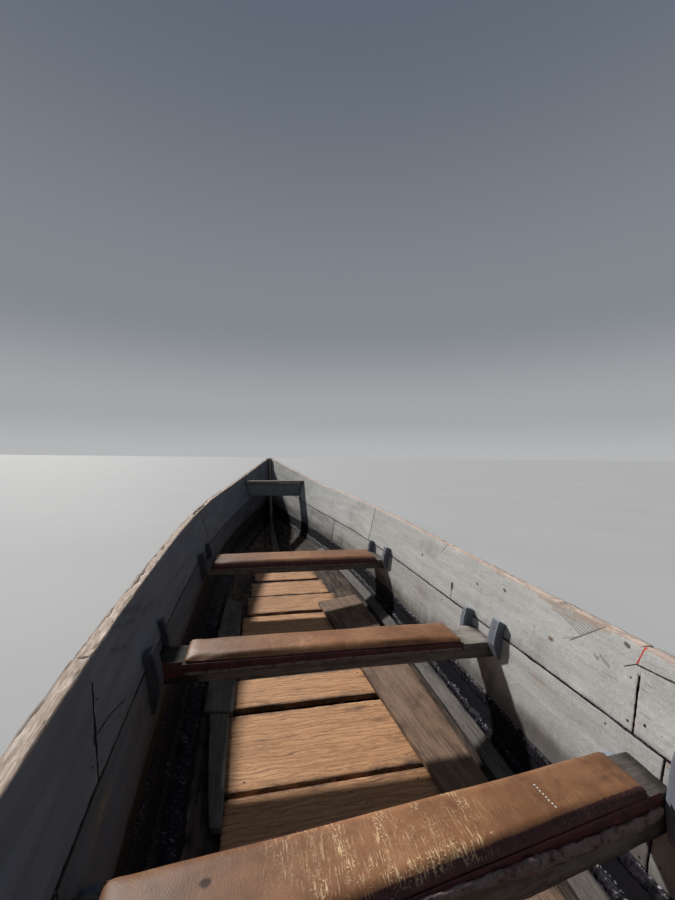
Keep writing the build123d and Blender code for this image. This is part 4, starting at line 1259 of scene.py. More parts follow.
# ---------------------------------------------------------------------------
# Floor
# ---------------------------------------------------------------------------
def floor_plank(y0, y1, x0, x1, low0, low1, seed, wet=0.0):
    """x0, x1 are the ends at the top face, low0 and low1 at the lower one."""
    zt = FLOOR_TOP
    W = y1 - y0
    skew = 2.5 * noise(seed * 1.7, 0.3, 0.9, 3)
    cup = 1.4 * noise(seed * 2.3, 0.1, 0.4, 5)

    def to_space(u, a, b):
        f = (a / W - 0.5)
        z = zt - b - cup * (1 - 4 * f * f) * 0.5 - 0.8
        y = y0 + a + skew * (u - (x0 + x1) / 2) / 300.0
        x = u + b / FLOOR_T * ((low0 - x0) * step(x0 + 60 - u, 0, 60) + (low1 - x1) * step(u, x1 - 60, x1))
        return np.stack([x, y, z], -1) / 1000

    def depth(u, a, b, na, nb):
        upper = np.clip(-nb, 0, 1)
        d = 0.7 * fbm(u / 160, a / 60, 0, seed, 3) + 0.35 * fbm(u / 50, a / 8, b / 8, seed + 1, 3)
        lip = np.exp(-np.minimum(a, W - a) / 5.0)
        d = d + upper * lip * np.clip(3.4 * fbm(u / 35, 0, 0, seed + 2, 3), 0, 5)
        endlip = np.exp(-np.minimum(u - x0, x1 - u) / 7.0)
        d = d + upper * endlip * np.clip(3.0 * fbm(a / 20, 0, 0, seed + 3, 3), 0, 5)
        side_w = np.clip(np.abs(na), 0, 1)
        d = d + side_w * (1.2 + 1.4 * fbm(u / 70, 0, 0, seed + 4, 3))
        return d + 0.4

    def masks(u, a, b, na, nb):
        n = fbm(u / 110, a / 70, 0, seed + 5, 4)
        n2 = fbm(u / 30, a / 20, 0, seed + 6, 3)
        edge = np.exp(-np.minimum(np.minimum(a, W - a), np.minimum(u - x0, x1 - u)) / 13.0)
        grime = np.clip(wet + 0.30 * np.clip(n, 0, 1) + 0.55 * edge + 0.15 * n2, 0, 1.2)
        grime = grime + 0.5 * np.clip(nb, 0, 1)
        tone = 1.0 + 0.12 * noise(seed * 0.91, 0.7, 0.2, 9)
        return np.stack([0 * a, grime, 0 * a, tone + 0 * a], -1)

    near = y0 > -1500 and y1 < 600
    us = np.arange(x0, x1 + 0.1, 11.0 if near else 22.0)
    us[-1] = x1
    n = int(W / (10.5 if near else 18.0))
    return bar("", us, lambda u: W + 0 * u, lambda u: FLOOR_T + 0 * u, to_space, (2.5, 2.5, 2.5, 2.5),
               (n, 2, max(6, n // 3), 2), 2.5, depth, masks, offset=seed * 0.53, build=False)


seed = 801
for name, planks in FLOOR_BAYS.items():
    parts = []
    for y0, y1, x0, x1 in planks:
        low = min(float(bottom_reach(y, FLOOR_TOP - FLOOR_T)) for y in (y0, y1)) - 5.0
        high = min(float(bottom_reach(y, FLOOR_TOP)) for y in (y0, y1)) - 10.0
        parts.append(floor_plank(y0, y1, max(x0, -high), min(x1, high), max(x0, -low), min(x1, low), seed,
                                 0.10 if name.endswith("mid") else 0.16))
        seed += 5
    done(joined(f"{name}_wood", parts), FLOORWOOD, "floor_wood", name)


def long_board(side, y0, y1, in0, in1, gap0, gap1, thick, seed):
    def edges(y):
        t = (y - y0) / (y1 - y0)
        x_in = in0 + (in1 - in0) * t
        x_out = inner_line(y)[..., 3, 0] - (gap0 + (gap1 - gap0) * t)
        z_in = np.maximum(FLOOR_TOP + 0.3, bottom_z(x_in, y) + 1.0)
        z_out = np.maximum(bottom_z(x_out, y), FLOOR_TOP) + 2.5
        return x_in, x_out, z_in, z_out

    def to_space(u, a, b):
        x_in, x_out, z_in, z_out = edges(u)
        w = np.abs(x_out - x_in)
        f = a / w
        x = x_in + (x_out - x_in) * f
        z = z_in + (z_out - z_in) * f + thick - b
        return np.stack([side * x, u, z], -1) / 1000

    def width(u):
        x_in, x_out, _, _ = edges(u)
        return np.abs(x_out - x_in)

    def depth(u, a, b, na, nb):
        w = width(u)
        d = 0.8 * fbm(u / 260, a / 60, 0, seed, 3) + 0.4 * fbm(u / 90, a / 8, b / 8, seed + 1, 3)
        lip = np.exp(-np.minimum(a, w - a) / 5.0) * np.clip(-nb, 0, 1)
        return d + lip * np.clip(3.6 * fbm(u / 60, 0, 0, seed + 2, 3), 0, 5) + 0.5

    def masks(u, a, b, na, nb):
        w = width(u)
        n = fbm(u / 160, a / 50, 0, seed + 5, 4)
        tar = 0.45 * np.clip(fbm(u / 70, a / 30, 0, seed + 7, 3) - 0.1, 0, 1) + 0.5 * np.exp(-(w - a) / 9.0)
        return np.stack([0.15 * np.clip(n, 0, 1), 0.25 + 0.5 * np.clip(-n, 0, 1), tar, 1.0 + 0 * a], -1)

    us = np.arange(y0, y1 + 0.1, 13.0)
    us[-1] = y1
    return bar("", us, width, lambda u: thick + 0 * u, to_space, (2.5, 2.5, 2.5, 2.5), (14, 2, 6, 2), 3.0,
               depth, masks, offset=seed * 0.31, build=False)


for j, (name, side, boards) in enumerate(LONG_BOARDS):
    parts = [long_board(side, *row, 900 + 21 * j + 5 * k) for k, row in enumerate(boards)]
    done(joined(f"{name}_wood", parts), BOARDWOOD[side], "board_wood", name)


def batten(name, side, y0, y1, s0, s1, thick, seed):
    W = s1 - s0

    def to_space(u, a, b):
        p = inner_line(u)
        low, keel = p[..., 3, :], p[..., 4, :]
        d = keel - low
        d /= np.linalg.norm(d, axis=-1, keepdims=True)
        n = np.stack([-d[..., 1], d[..., 0]], -1)
        q = low + d * (s0 + a)[..., None] - n * (thick - b)[..., None]
        return place(u, q[..., 0], q[..., 1], side)

    def depth(u, a, b, na, nb):
        d = 0.8 * fbm(u / 180, a / 20, b / 20, seed, 3) + 0.5 * fbm(u / 60, a / 6, b / 6, seed + 1, 3)
        edge = np.exp(-np.minimum(a, W - a) / 4.0) * np.clip(-nb, 0, 1)
        return d + edge * np.clip(3.0 * fbm(u / 50, 0, 0, seed + 2, 3), 0, 5) + 0.4

    def masks(u, a, b, na, nb):
        n = fbm(u / 120, a / 20, b / 20, seed + 5, 4)
        tar = 0.22 + 0.5 * np.clip(fbm(u / 60, a / 15, 0, seed + 7, 3), 0, 1) + 0.5 * np.exp(-a / 7.0)
        return np.stack([0.2 * np.clip(n, 0, 1), 0.35 + 0.4 * np.clip(n, 0, 1), tar, 0.95 + 0 * a], -1)

    us = np.concatenate([np.arange(y0, -1500, 34.0), np.arange(-1500, 500, 14.0), np.arange(500, y1 + 0.1, 28.0)])
    us[-1] = y1
    ob = bar(f"{name}_wood", us, lambda u: W + 0 * u, lambda u: thick + 0 * u, to_space, (3, 3, 1, 1), (6, 4, 3, 4), 3.0,
             depth, masks, offset=seed * 0.29)
    return done(ob, BOARDWOOD[-1], "board_wood", name)


for j, row in enumerate(BATTENS):
    batten(*row, 950 + 21 * j)


# ---------------------------------------------------------------------------
# Padded thwart tops
# ---------------------------------------------------------------------------
OVER = 4.0      # how far a cushion stands out past the faces of its plank


def pad_start(y_mid, width, slope, taper, x0, x1, z0, z1, shrink):
    """Rounded slab, a little smaller than the pad, as (verts, faces)."""
    T = z1 - z0 - shrink

    def wide(u):
        return width + 2 * OVER - 2 * shrink + taper * u

    def to_space(u, a, b):
        W = wide(u)
        f = np.clip(np.abs(a / W - 0.5) * 2, 0, 1)
        crown = 2.5 * (1 - f**2)
        z = z1 - shrink - b - 2.0 * f**4 + crown * (1 - b / T) * 0.6
        z = np.maximum(z, z0 + 0.4)
        return np.stack([u, y_mid + slope * u + (a - W / 2), z], -1) / 1000

    us = np.arange(x0 + shrink, x1 - shrink + 0.1, 9.0)
    us[-1] = x1 - shrink
    return bar("", us, wide, lambda u: T + 0 * u, to_space, (11, 4, 4, 11), (14, 2, 10, 2), 9.0, build=False, arc=5)


def path_mask(X, Y, pts, w):
    """1 on a bent line in the plan, fading over w mm."""
    best = np.full(X.shape, 1e9)
    for (xa, ya), (xb, yb) in zip(pts[:-1], pts[1:]):
        dx, dy = xb - xa, yb - ya
        t = np.clip(((X - xa) * dx + (Y - ya) * dy) / (dx * dx + dy * dy), 0, 1)
        best = np.minimum(best, np.hypot(X - xa - t * dx, Y - ya - t * dy))
    return np.exp(-(best / w) ** 2)


# cover hanging over the faces of the plank: side, x from, x to, mm below the plank top at some x
APRONS = {
    "near": [(-1, -488, 494, ((-488, 4), (0, 6), (108, 18), (178, 27), (255, 31), (428, 38), (494, 26))),
             (1, -486, 466, ((-486, 16), (466, 14)))],
    "middle": [(-1, -476, 442, ((-476, 25), (-330, 24), (-200, 21), (60, 17), (442, 17))), (1, -470, 438, ((-470, 14), (438, 14)))],
    "fore": [(-1, -494, 494, ((-494, 24), (0, 20), (494, 24))), (1, -494, 494, ((-494, 22), (494, 24)))],
    "aft": [(-1, -362, 362, ((-362, 20), (362, 24))), (1, -362, 362, ((-362, 24), (362, 20)))],
}


def drop_at(rows, x):
    return np.interp(x, [r[0] for r in rows], [r[1] for r in rows])


def apron(y_mid, width, slope, taper, z0, s, xa, xb, rows, seed, lift=6.0):
    def to_space(u, a, b):
        out = 0.5 + 1.5 * np.abs(fbm(u / 38, a / 30, 0, seed + 22 + s, 3)) * step(a, 8, 24) - 1.6 * (1 - step(a, 0, 7))
        low = 1 + 0.10 * fbm(u / 60, 0, 0, seed + 20 + s, 3) + 0.05 * fbm(u / 12, 0, 0, seed + 24, 2)
        z = z0 + lift - lift * np.clip(a / lift, 0, 1) - np.maximum(a - lift, 0) * low
        y = y_mid + slope * u + s * ((width + taper * u) / 2 + out + (2.2 - b))
        return np.stack([u, y, z], -1) / 1000

    us = np.arange(xa, xb + 0.1, 5.0)
    us[-1] = xb
    return bar("", us, lambda u: lift + drop_at(rows, u), lambda u: 2.2 + 0 * u, to_space, (1.0, 1.0, 1.0, 1.0),
               (10, 1, 5, 1), 1.0, build=False, arc=2)


def pad_piece(name, y_mid, width, slope, taper, x0, x1, z0, z1, seed, voxel, cap):
    raw = pad_start(y_mid, width, 0.0, 0.0, x0, x1, z0, z1, 3.0)
    ob = mesh_object(f"seat_pad_{name}_cover", raw[0], raw[1])
    rm = ob.modifiers.new("voxels", "REMESH")
    rm.mode = "VOXEL"
    rm.voxel_size = voxel
    dg = bpy.context.evaluated_depsgraph_get()
    me = bpy.data.meshes.new_from_object(ob.evaluated_get(dg))
    ob.modifiers.clear()
    old = ob.data
    ob.data = me
    bpy.data.meshes.remove(old)
    n = len(me.vertices)
    start = np.zeros(n * 3)
    me.vertices.foreach_get("co", start)
    start = start.reshape(-1, 3)
    base = ob.vertex_groups.new(name="base")
    low = np.where(start[:, 2] < z0 / 1000 + 0.004)[0]
    base.add(low.tolist(), 1.0, "REPLACE")
    cl = ob.modifiers.new("swell", "CLOTH")
    st = cl.settings
    st.quality = 6
    st.mass = 0.25
    st.use_pressure = True
    st.uniform_pressure_force = 4.0
    st.tension_stiffness = 12
    st.compression_stiffness = 12
    st.bending_stiffness = 1.2
    st.effector_weights.gravity = 0.0
    st.vertex_group_mass = "base"
    cl.collision_settings.use_collision = False
    sc = bpy.context.scene
    for f in range(1, 21):
        sc.frame_set(f)
    dg = bpy.context.evaluated_depsgraph_get()
    new = bpy.data.meshes.new_from_object(ob.evaluated_get(dg))
    end = np.zeros(n * 3)
    new.vertices.foreach_get("co", end)
    end = end.reshape(-1, 3)
    bpy.data.meshes.remove(new)
    ob.modifiers.clear()
    sc.frame_set(1)
    move = end - start
    size = np.linalg.norm(move, axis=1, keepdims=True)
    from_end = np.minimum(start[:, 0] * 1000 - x0, x1 - start[:, 0] * 1000)
    hold = 0.45 + 0.55 * step(from_end, 10, 200)
    start = start + move * np.minimum(1.0, cap / np.maximum(size, 1e-9)) * hold[:, None]
    edges = np.zeros(len(me.edges) * 2, dtype=np.int64)
    me.edges.foreach_get("vertices", edges)
    edges = edges.reshape(-1, 2)
    count = np.bincount(edges.ravel(), minlength=n)[:, None]
    for _ in range(6):
        around = np.stack([np.bincount(edges[:, 0], weights=start[edges[:, 1], k], minlength=n)
                           + np.bincount(edges[:, 1], weights=start[edges[:, 0], k], minlength=n) for k in range(3)], -1)
        start = 0.5 * start + 0.5 * around / count
    # shallow sags where people sit, and small puckers along the sides
    P = start * 1000
    W = width + 2 * OVER + taper * P[:, 0]
    P[:, 1] = y_mid + slope * P[:, 0] + (P[:, 1] - y_mid) * W / (width + 2 * OVER)
    yl = P[:, 1] - (y_mid + slope * P[:, 0])
    upper = step(P[:, 2], z0 + 6, z1 - 4)
    rim = step(np.abs(yl), W / 2 - 14, W / 2 - 2)
    P[:, 2] -= upper * (1.8 * np.clip(fbm(P[:, 0] / 210, yl / 130, 0, seed, 2), -0.3, 1) + 0.8 * fbm(P[:, 0] / 60, yl / 45, 0, seed + 1, 2))
    roll, reach = (4.0, 16.0) if name != "middle" else (9.0, 32.0)
    fall = 1.0 if name != "middle" else 0.35 + 0.65 * (1 - step(P[:, 0], -330, 100))
    from_end = np.minimum(P[:, 0] - x0, x1 - P[:, 0])
    P[:, 2] -= upper * roll * fall * (0.45 + 0.55 * step(from_end, 10, 230)) * np.clip(1 - (W / 2 + yl) / reach, 0, 1) ** 2
    if name == "middle":
        # the port end is slack: its aft corner is pulled in
        P[:, 1] += 9.0 * np.clip(1 - (P[:, 0] - x0) / 190.0, 0, 1) ** 1.5 * np.clip(0.5 - yl / W, 0, 1)
    pucker = fbm(P[:, 0] / 16, 0, 0, seed + 2, 2)
    P[:, 1] += np.sign(yl) * rim * (0.8 * pucker + 0.7 * fbm(P[:, 0] / 90, 0, 0, seed + 3, 2))
    yl = P[:, 1] - (y_mid + slope * P[:, 0])
    P[:, 1] -= np.sign(yl) * np.clip(np.abs(yl) - (W / 2 + 1.0), 0, 99)
    P[:, 0] = np.clip(P[:, 0], x0, x1)
    P[:, 2] = np.clip(P[:, 2], z0 + 0.3, z1 + 3.0)
    me = ob.data
    me.vertices.foreach_set("co", (P / 1000).ravel())
    me.update()
    sub = ob.modifiers.new("fine", "SUBSURF")
    sub.levels = sub.render_levels = 1 if "near" in name else 0
    dg = bpy.context.evaluated_depsgraph_get()
    me2 = bpy.data.meshes.new_from_object(ob.evaluated_get(dg))
    ob.modifiers.clear()
    old = ob.data
    ob.data = me2
    bpy.data.meshes.remove(old)
    co = np.zeros(len(me2.vertices) * 3)
    me2.vertices.foreach_get("co", co)
    co = co.reshape(-1, 3)
    co[:, 2] = np.maximum(co[:, 2], z0 / 1000 + 0.0003)
    faces = [np.array([list(p.vertices) for p in me2.polygons if len(p.vertices) == k]) for k in (3, 4)]
    faces = [f for f in faces if len(f)]
    verts = [co]
    faces_all = {}
    for f in faces:
        faces_all.setdefault(f.shape[1], []).append(f)
    off = len(co)
    flaps = [apron(y_mid, width, slope, taper, z0, *row, seed) for row in APRONS[name]]
    if name == "middle":
        # a loose end of the cover, past the pad's port end
        flaps.append(apron(y_mid, width, slope, taper, z0, -1, -556.0, -477.0, ((-556, 30), (-520, 34), (-477, 27)),
                           seed + 3, lift=15.0))
    for v, fs, at in flaps:
        verts.append(v)
        for f in fs:
            faces_all.setdefault(f.shape[1], []).append(f + off)
        off += len(v)
    V = np.vstack(verts)
    X, Y, Z = V.T * 1000
    W = width + 2 * OVER + taper * X
    yl = Y - (y_mid + slope * X)
    down = np.clip(z1 - Z, 0, 80)
    grain = np.stack([X / 1000 + seed * 0.17, yl / 1000, down / 1000], -1)
    n1 = fbm(X / 60, yl / 60, 0, seed + 30, 3)
    is_flap = (np.arange(len(V)) >= len(co)).astype(float)
    # burgundy on the sides and flaps, partly painted shade; on the near pad also a band along the aft roll-over:
    # painted shade
    burgundy_and_shade = np.maximum(step(down, 9, 16), step(np.abs(yl), W / 2 - 4, W / 2 - 1))
    if name == "near":
        burgundy_and_shade = np.maximum(burgundy_and_shade, 0.95 * step(-yl, W / 2 - 24, W / 2 - 13))
    burgundy_and_shade = np.maximum(burgundy_and_shade, is_flap)
    topmask = (1 - step(down, 7, 14)) * (1 - is_flap)
    scuff = topmask * np.clip(0.03 + 0.45 * fbm(X / 120, yl / 90, 0, seed + 31, 2), 0, 1)
    if name == "near":
        zone = path_mask(X, Y, [(-66, -1200), (-63, -1243), (-66, -1277), (-78, -1322)], 11)
        zone = np.maximum(zone, 1.1 * path_mask(X, Y, [(-145, -1208), (-139, -1242), (-134, -1274), (-126, -1292), (-118, -1309)], 13))
        zone = np.maximum(zone, 0.75 * path_mask(X, Y, [(-206, -1228), (-167, -1229), (-145, -1211)], 10))
        zone = np.maximum(zone, 1.0 * path_mask(X, Y, [(-192, -1308), (-174, -1329), (-157, -1341)], 15))
        zone = np.maximum(zone, 1.0 * path_mask(X, Y, [(-135, -1277), (-129, -1313), (-120, -1334), (-118, -1348)], 12))
        zone = np.maximum(zone, 0.45 * path_mask(X, Y, [(-225, -1239), (-222, -1269), (-220, -1300)], 12))
        zone = np.maximum(zone, 0.38 * path_mask(X, Y, [(-170, -1270), (-150, -1320)], 34))
        zone = np.maximum(zone, 0.85 * path_mask(X, Y, [(62, -1200), (89, -1216), (97, -1237), (95, -1267), (94, -1290), (76, -1316)], 11))
        zone = np.maximum(zone, 1.15 * path_mask(X, Y, [(-95, -1316), (-68, -1325), (-41, -1327), (-4, -1321), (41, -1314), (81, -1315)], 13))
        zone = np.maximum(zone, 0.60 * path_mask(X, Y, [(7, -1199), (6, -1236)], 9))
        zone = np.maximum(zone, 0.24 * path_mask(X, Y, [(-60, -1270), (80, -1270)], 45))
        for xs, ys in ((-38, -1257), (20, -1256), (-244, -1252), (-222, -1298), (96, -1302), (113, -1298)):
            zone = np.maximum(zone, 1.3 * np.exp(-((X - xs) ** 2 + (Y - ys) ** 2) / 20.0))
        scuff = topmask * np.clip(0.06 + 1.35 * zone + 0.25 * np.clip(n1, 0, 1), 0, 1.4)
    grime = 0.06 + 0.30 * np.clip(n1, 0, 1) + 0.30 * step(down, 20, 45)
    if name == "near":
        spot = np.exp(-(((X + 338) / 9) ** 2 + ((Y + 1288) / 7) ** 2))
        grime = grime + 1.2 * spot
        # the near pad's starboard end is darkened: painted shadow
        grime = grime + 0.42 * step(X, 300, 450) * topmask
    # the top is darkened towards both ends: painted shade
    tone = 1.0 - (0.46 * (1 - step(X, x0 + 60, x0 + 420)) + 0.24 * step(X, x1 - 480, x1 - 200)) * topmask
    if name == "middle":
        tone = tone + 0.06 * topmask + 0.15 * (1 - topmask) * (1 - step(X, -470, -330))
    mask = np.stack([scuff, grime, burgundy_and_shade, tone], -1)
    ob.data = bpy.data.meshes.new("tmp")
    bpy.data.objects.remove(ob)
    ob = mesh_object(f"seat_pad_{name}_cover", V, [np.concatenate(f) for f in faces_all.values()],
                     {"grain": grain, "mask": mask})
    done(ob, VINYL, "vinyl", f"seat_pad_{name}")
    return ob, V, faces_all


pads = {}
for j, (name, y_mid, width, top, slope, pad_x0, pad_x1, thick, taper) in enumerate(THWARTS):
    if pad_x0 is None:
        continue
    near = name in ("near", "middle")
    pads[name] = pad_piece(name, y_mid, width, slope, taper, pad_x0, pad_x1, top - PAD_T, float(top), 1000 + 29 * j,
                           0.006 if near else 0.009, 0.006)


def surface_z(pack, x, y):
    ob, V, faces = pack
    tree = pads_tree[ob.name]
    hit = tree.ray_cast(Vector((x, y, 1.0)), Vector((0, 0, -1)))
    return hit[0].z if hit[0] is not None else None


pads_tree = {}
for pack in pads.values():
    ob, V, faces = pack
    polys = [tuple(int(i) for i in f) for fs in faces.values() for arr in fs for f in arr]
    pads_tree[ob.name] = BVHTree.FromPolygons([tuple(v) for v in V], polys)

# a short row of white stitches sewn through the near pad
stitches = []
for k in range(8):
    t0, t1 = (k + 0.10) / 8, (k + 0.66) / 8
    pts = []
    for t in np.linspace(t0, t1, 6):
        x, y = 0.249 + 0.005 * t, -1.230 - 0.056 * t
        z = surface_z(pads["near"], x, y)
        pts.append((x + 0.0006 * math.sin(9 * t + k), y, z + 0.0006 - 0.0012 * abs(2 * (t - t0) / (t1 - t0) - 1) ** 2))
    stitches.append(tube(pts, 0.0011, 6))
done(joined("near_pad_stitches", stitches), WHITE_THREAD, None)


# the cover's edge is turned under and twisted along the face of the plank
def hem_roll(y_mid, width, slope, taper, z0, s, xa, xb, rows, high, deep, seed):
    """A lumpy roll; high and deep are its half sizes as functions of x."""
    xs = np.arange(xa, xb + 0.1, 5.0)
    th = np.linspace(0, 2 * math.pi, 16, endpoint=False)
    X, T = xs[:, None] + 0 * th[None], th[None] + 0 * xs[:, None]
    twist = X / 8.5 + 2.2 * fbm(X / 60, 0, 0, seed, 2)
    k = 1 + 0.15 * np.sin(2 * T + twist) + 0.20 * fbm(X / 13, np.cos(T) * 1.3, np.sin(T) * 1.3, seed + 2, 3)
    k = k + 0.06 * np.sin(5 * T - 2.3 * twist)
    end = np.clip(np.minimum(X - xa, xb - X) / 10.0, 0.12, 1) ** 0.5
    rz, ry = high(X) * k * end, deep(X) * k * end
    zc = z0 - drop_at(rows, X) + high(X) * 0.9 + 1.2 * fbm(X / 70, 0, 0, seed + 4, 2)
    yc = (width + taper * X) / 2 + 1.0 + deep(X) * 0.9
    y = y_mid + slope * X + s * np.maximum(yc + ry * np.cos(T), (width + taper * X) / 2 + 0.4)
    verts = np.stack([X, y, zc + rz * np.sin(T)], -1).reshape(-1, 3) / 1000
    nu, nr = X.shape
    idx = np.arange(nu * nr).reshape(nu, nr)
    q = np.stack([idx[:-1], np.roll(idx, -1, 1)[:-1], np.roll(idx, -1, 1)[1:], idx[1:]], -1).reshape(-1, 4)
    caps = []
    for row in (0, nu - 1):
        ci = len(verts)
        verts = np.vstack([verts, verts[idx[row]].mean(0)[None]])
        tri = np.stack([np.full(nr, ci), np.roll(idx[row], -1), idx[row]], -1)
        caps.append(tri if row == 0 else tri[:, ::-1])
    tri = np.concatenate(caps)
    if s > 0:
        q, tri = q[:, ::-1], tri[:, ::-1]
    grain = np.concatenate([np.stack([X / 1000, T * 0.008, 0 * X], -1).reshape(-1, 3), np.zeros((2, 3))])
    return verts, [q, tri], {"grain": grain, "mask": np.tile([0, 0, 0, 1.0], (len(verts), 1))}


rng = np.random.default_rng(41)
fray, hems = [], []
for name, y_mid, width, top, slope, x0, x1, thick, taper in THWARTS:
    if x0 is None:
        continue
    z0 = top - PAD_T
    for s, xa, xb, rows in APRONS[name]:
        if name == "near" and s < 0:
            def high(x):
                base = np.interp(x, [-488, 0, 108, 178, 255, 428, 494], [4.0, 5.0, 8.5, 12.0, 11.0, 11.5, 7.0])
                return base + 2.5 * np.exp(-((x - 172) / 11) ** 2) - 1.6 * np.exp(-((x - 150) / 6) ** 2)

            def deep(x):
                return np.minimum(high(x), 6.0) + 3.0 * np.exp(-((x - 172) / 12) ** 2)
        else:
            high = lambda x: 4.2 + 0 * x
            deep = lambda x: 2.8 + 0 * x
        hems.append(hem_roll(y_mid, width, slope, taper, z0, s, xa + 2, xb - 2, rows, high, deep, 1300 + int(abs(y_mid)) + s))
        # tacks
        x = xa + 60.0
        while x < xb - 30 and not (name == "near" and s < 0):
            y = y_mid + slope * x + s * ((width + taper * x) / 2 + 3.4)
            nail_spots.append(((x / 1000, y / 1000, (z0 - 4 + rng.normal()) / 1000), (0, s, 0.05)))
            x += 125 + rng.normal() * 14
        # loose threads of the backing
        for _ in range({"near": 90, "middle": 60}.get(name, 24)):
            x = rng.uniform(xa + 8, xb - 8)
            if name == "near" and s < 0 and rng.uniform() < 0.35:
                x = 172 + rng.normal() * 9
            y = y_mid + slope * x + s * ((width + taper * x) / 2 + 2.6 + float(deep(np.array(x))) * 0.7)
            z = z0 - float(drop_at(rows, x)) + 2
            L = rng.uniform(3, 9)
            dx = rng.normal() * 3
            pts = [(x / 1000, y / 1000, (z + 3) / 1000), ((x + dx * 0.4) / 1000, (y + s * 0.8) / 1000, (z - L * 0.5) / 1000),
                   ((x + dx) / 1000, (y + s * rng.uniform(0, 2)) / 1000, (z - L) / 1000)]
            fray.append(tube(pts, 0.0004, 4))
done(joined("pad_frayed_backing", fray), FRAY, None)
done(joined("pad_hems", hems), HEM, "vinyl")


# ---------------------------------------------------------------------------
# Nails along the seams, joints and floor
# ---------------------------------------------------------------------------
def wall_point(side, y, z, off=0.0):
    x = float(hull_x(y, z))
    return (side * (x - off) / 1000, y / 1000, z / 1000)


for side in (-1, 1):
    y = -4100.0
    while y < 3300:
        p = inner_line(y)
        zz = p[1, 1] - 22 + rng.normal() * 3
        nail_spots.append((wall_point(side, y + rng.normal() * 40, zz, -0.2), (-side, 0, 0.25)))
        y += 430.0
for strake, index in (("upper_strake", 0), ("lower_strake", 1)):
    for side, cuts in ((-1, JOINTS[strake][0]), (1, JOINTS[strake][1])):
        for (yj, slant) in cuts:
            p = inner_line(yj)
            for f, off in ((0.42, 22), (0.82, -24), (0.90, 20)):
                zz = p[index, 1] + (p[index + 1, 1] - p[index, 1]) * f
                zm = p[index:index + 2, 1].mean()
                nail_spots.append((wall_point(side, yj + slant * (zz - zm) + off + rng.normal() * 3, zz, -0.2), (-side, 0, 0.25)))
for planks in FLOOR_BAYS.values():
    for y0, y1, x0, x1 in planks:
        for x, y in ((x0 + 42, y0 + 34), (x1 - 60, y1 - 36)):
            spot = ((x + rng.normal() * 8) / 1000, (y + rng.normal() * 6) / 1000, (FLOOR_TOP - 1.6) / 1000)
            nail_spots.append((spot, (0, 0, 1)))

heads = []
for p, n in nail_spots:
    n = np.array(n, float)
    n /= np.linalg.norm(n)
    ref = np.array([0, 0, 1.0]) if abs(n[2]) < 0.8 else np.array([0, 1.0, 0])
    s = np.cross(n, ref)
    s /= np.linalg.norm(s)
    c = np.cross(n, s)
    r = 0.0026 * (1 + 0.15 * rng.normal())
    tilt = rng.normal(size=2) * 0.10
    rows = []
    for rad, h in ((0.86, -0.0022), (1.0, 0.0001), (0.93, 0.0009), (0.55, 0.0014)):
        ang = np.linspace(0, 2 * math.pi, 10, endpoint=False)
        ring = np.array(p)[None] + r * rad * (np.cos(ang)[:, None] * s + np.sin(ang)[:, None] * c)
        ring += n * (h + r * rad * (np.cos(ang) * tilt[0] + np.sin(ang) * tilt[1]))[:, None]
        rows.append(ring)
    ring = np.array(rows)
    nu, nr = ring.shape[:2]
    idx = np.arange(nu * nr).reshape(nu, nr)
    q = np.stack([idx[:-1], np.roll(idx, -1, 1)[:-1], np.roll(idx, -1, 1)[1:], idx[1:]], -1).reshape(-1, 4)
    verts = np.vstack([ring.reshape(-1, 3), ring[0].mean(0), ring[-1].mean(0) + n * 0.0001])
    a = np.stack([np.full(nr, nu * nr), np.roll(idx[0], -1), idx[0]], -1)
    b = np.stack([np.full(nr, nu * nr + 1), idx[-1], np.roll(idx[-1], -1)], -1)
    tri = np.concatenate([a, b])
    v = verts[tri[-1]]
    if np.dot(np.cross(v[1] - v[0], v[2] - v[0]), n) < 0:
        tri, q = tri[:, ::-1], q[:, ::-1]
    heads.append((verts, [q, tri], {"grain": verts.copy(), "mask": np.tile([0, 0, 0, 1.0], (len(verts), 1))}))
done(joined("nail_heads", heads), RUST, None)


# ---------------------------------------------------------------------------
# What stays as the CAD made it gets its finish here
# ---------------------------------------------------------------------------
def cad_wood(name, light, mid, dark, along, spots=True, below=None):
    """Wood for the solids that are kept: grain runs along one axis."""
    s = Surface(name)
    O = s.place()
    sc = [260.0, 260.0, 260.0]
    sc["xyz".index(along)] = 5.0
    fine = s.noise(s.scaled(O, tuple(sc)), 1.0, 4.0, 0.62)
    band = s.noise(s.scaled(O, tuple(v * 0.15 for v in sc)), 1.0, 4.0, 0.6, 0.5)
    blot = s.noise(O, 13.0, 5.0, 0.65)
    colour = s.mix(s.span(band, 0.30, 0.68), light, mid)
    colour = s.mix(s.span(fine, 0.44, 0.72, 0.0, 0.7), colour, dark)
    colour = s.mix(s.span(blot, 0.48, 0.78, 0.0, 0.6), colour, (dark[0] * 0.6, dark[1] * 0.6, dark[2] * 0.6))
    if below is not None:
        z = s.split(O)[2]
        level = s.add(z, s.math("SUBTRACT", blot, 0.5), 0.08)
        colour = s.mix(s.span(level, 0.01, 0.14, 0.85, 0.0), colour, below)
    checks = s.span(s.noise(s.scaled(O, tuple(v * 1.4 for v in sc)), 1.0, 2.0, 0.5), 0.64, 0.73)
    colour = s.mix(s.math("MULTIPLY", checks, 0.7), colour, (dark[0] * 0.35, dark[1] * 0.35, dark[2] * 0.35))
    height = s.add(s.math("MULTIPLY", fine, -0.8), checks, -1.4)
    return s.finish(colour, 0.80, s.bump(height, 0.0008, 0.9), 0.3)


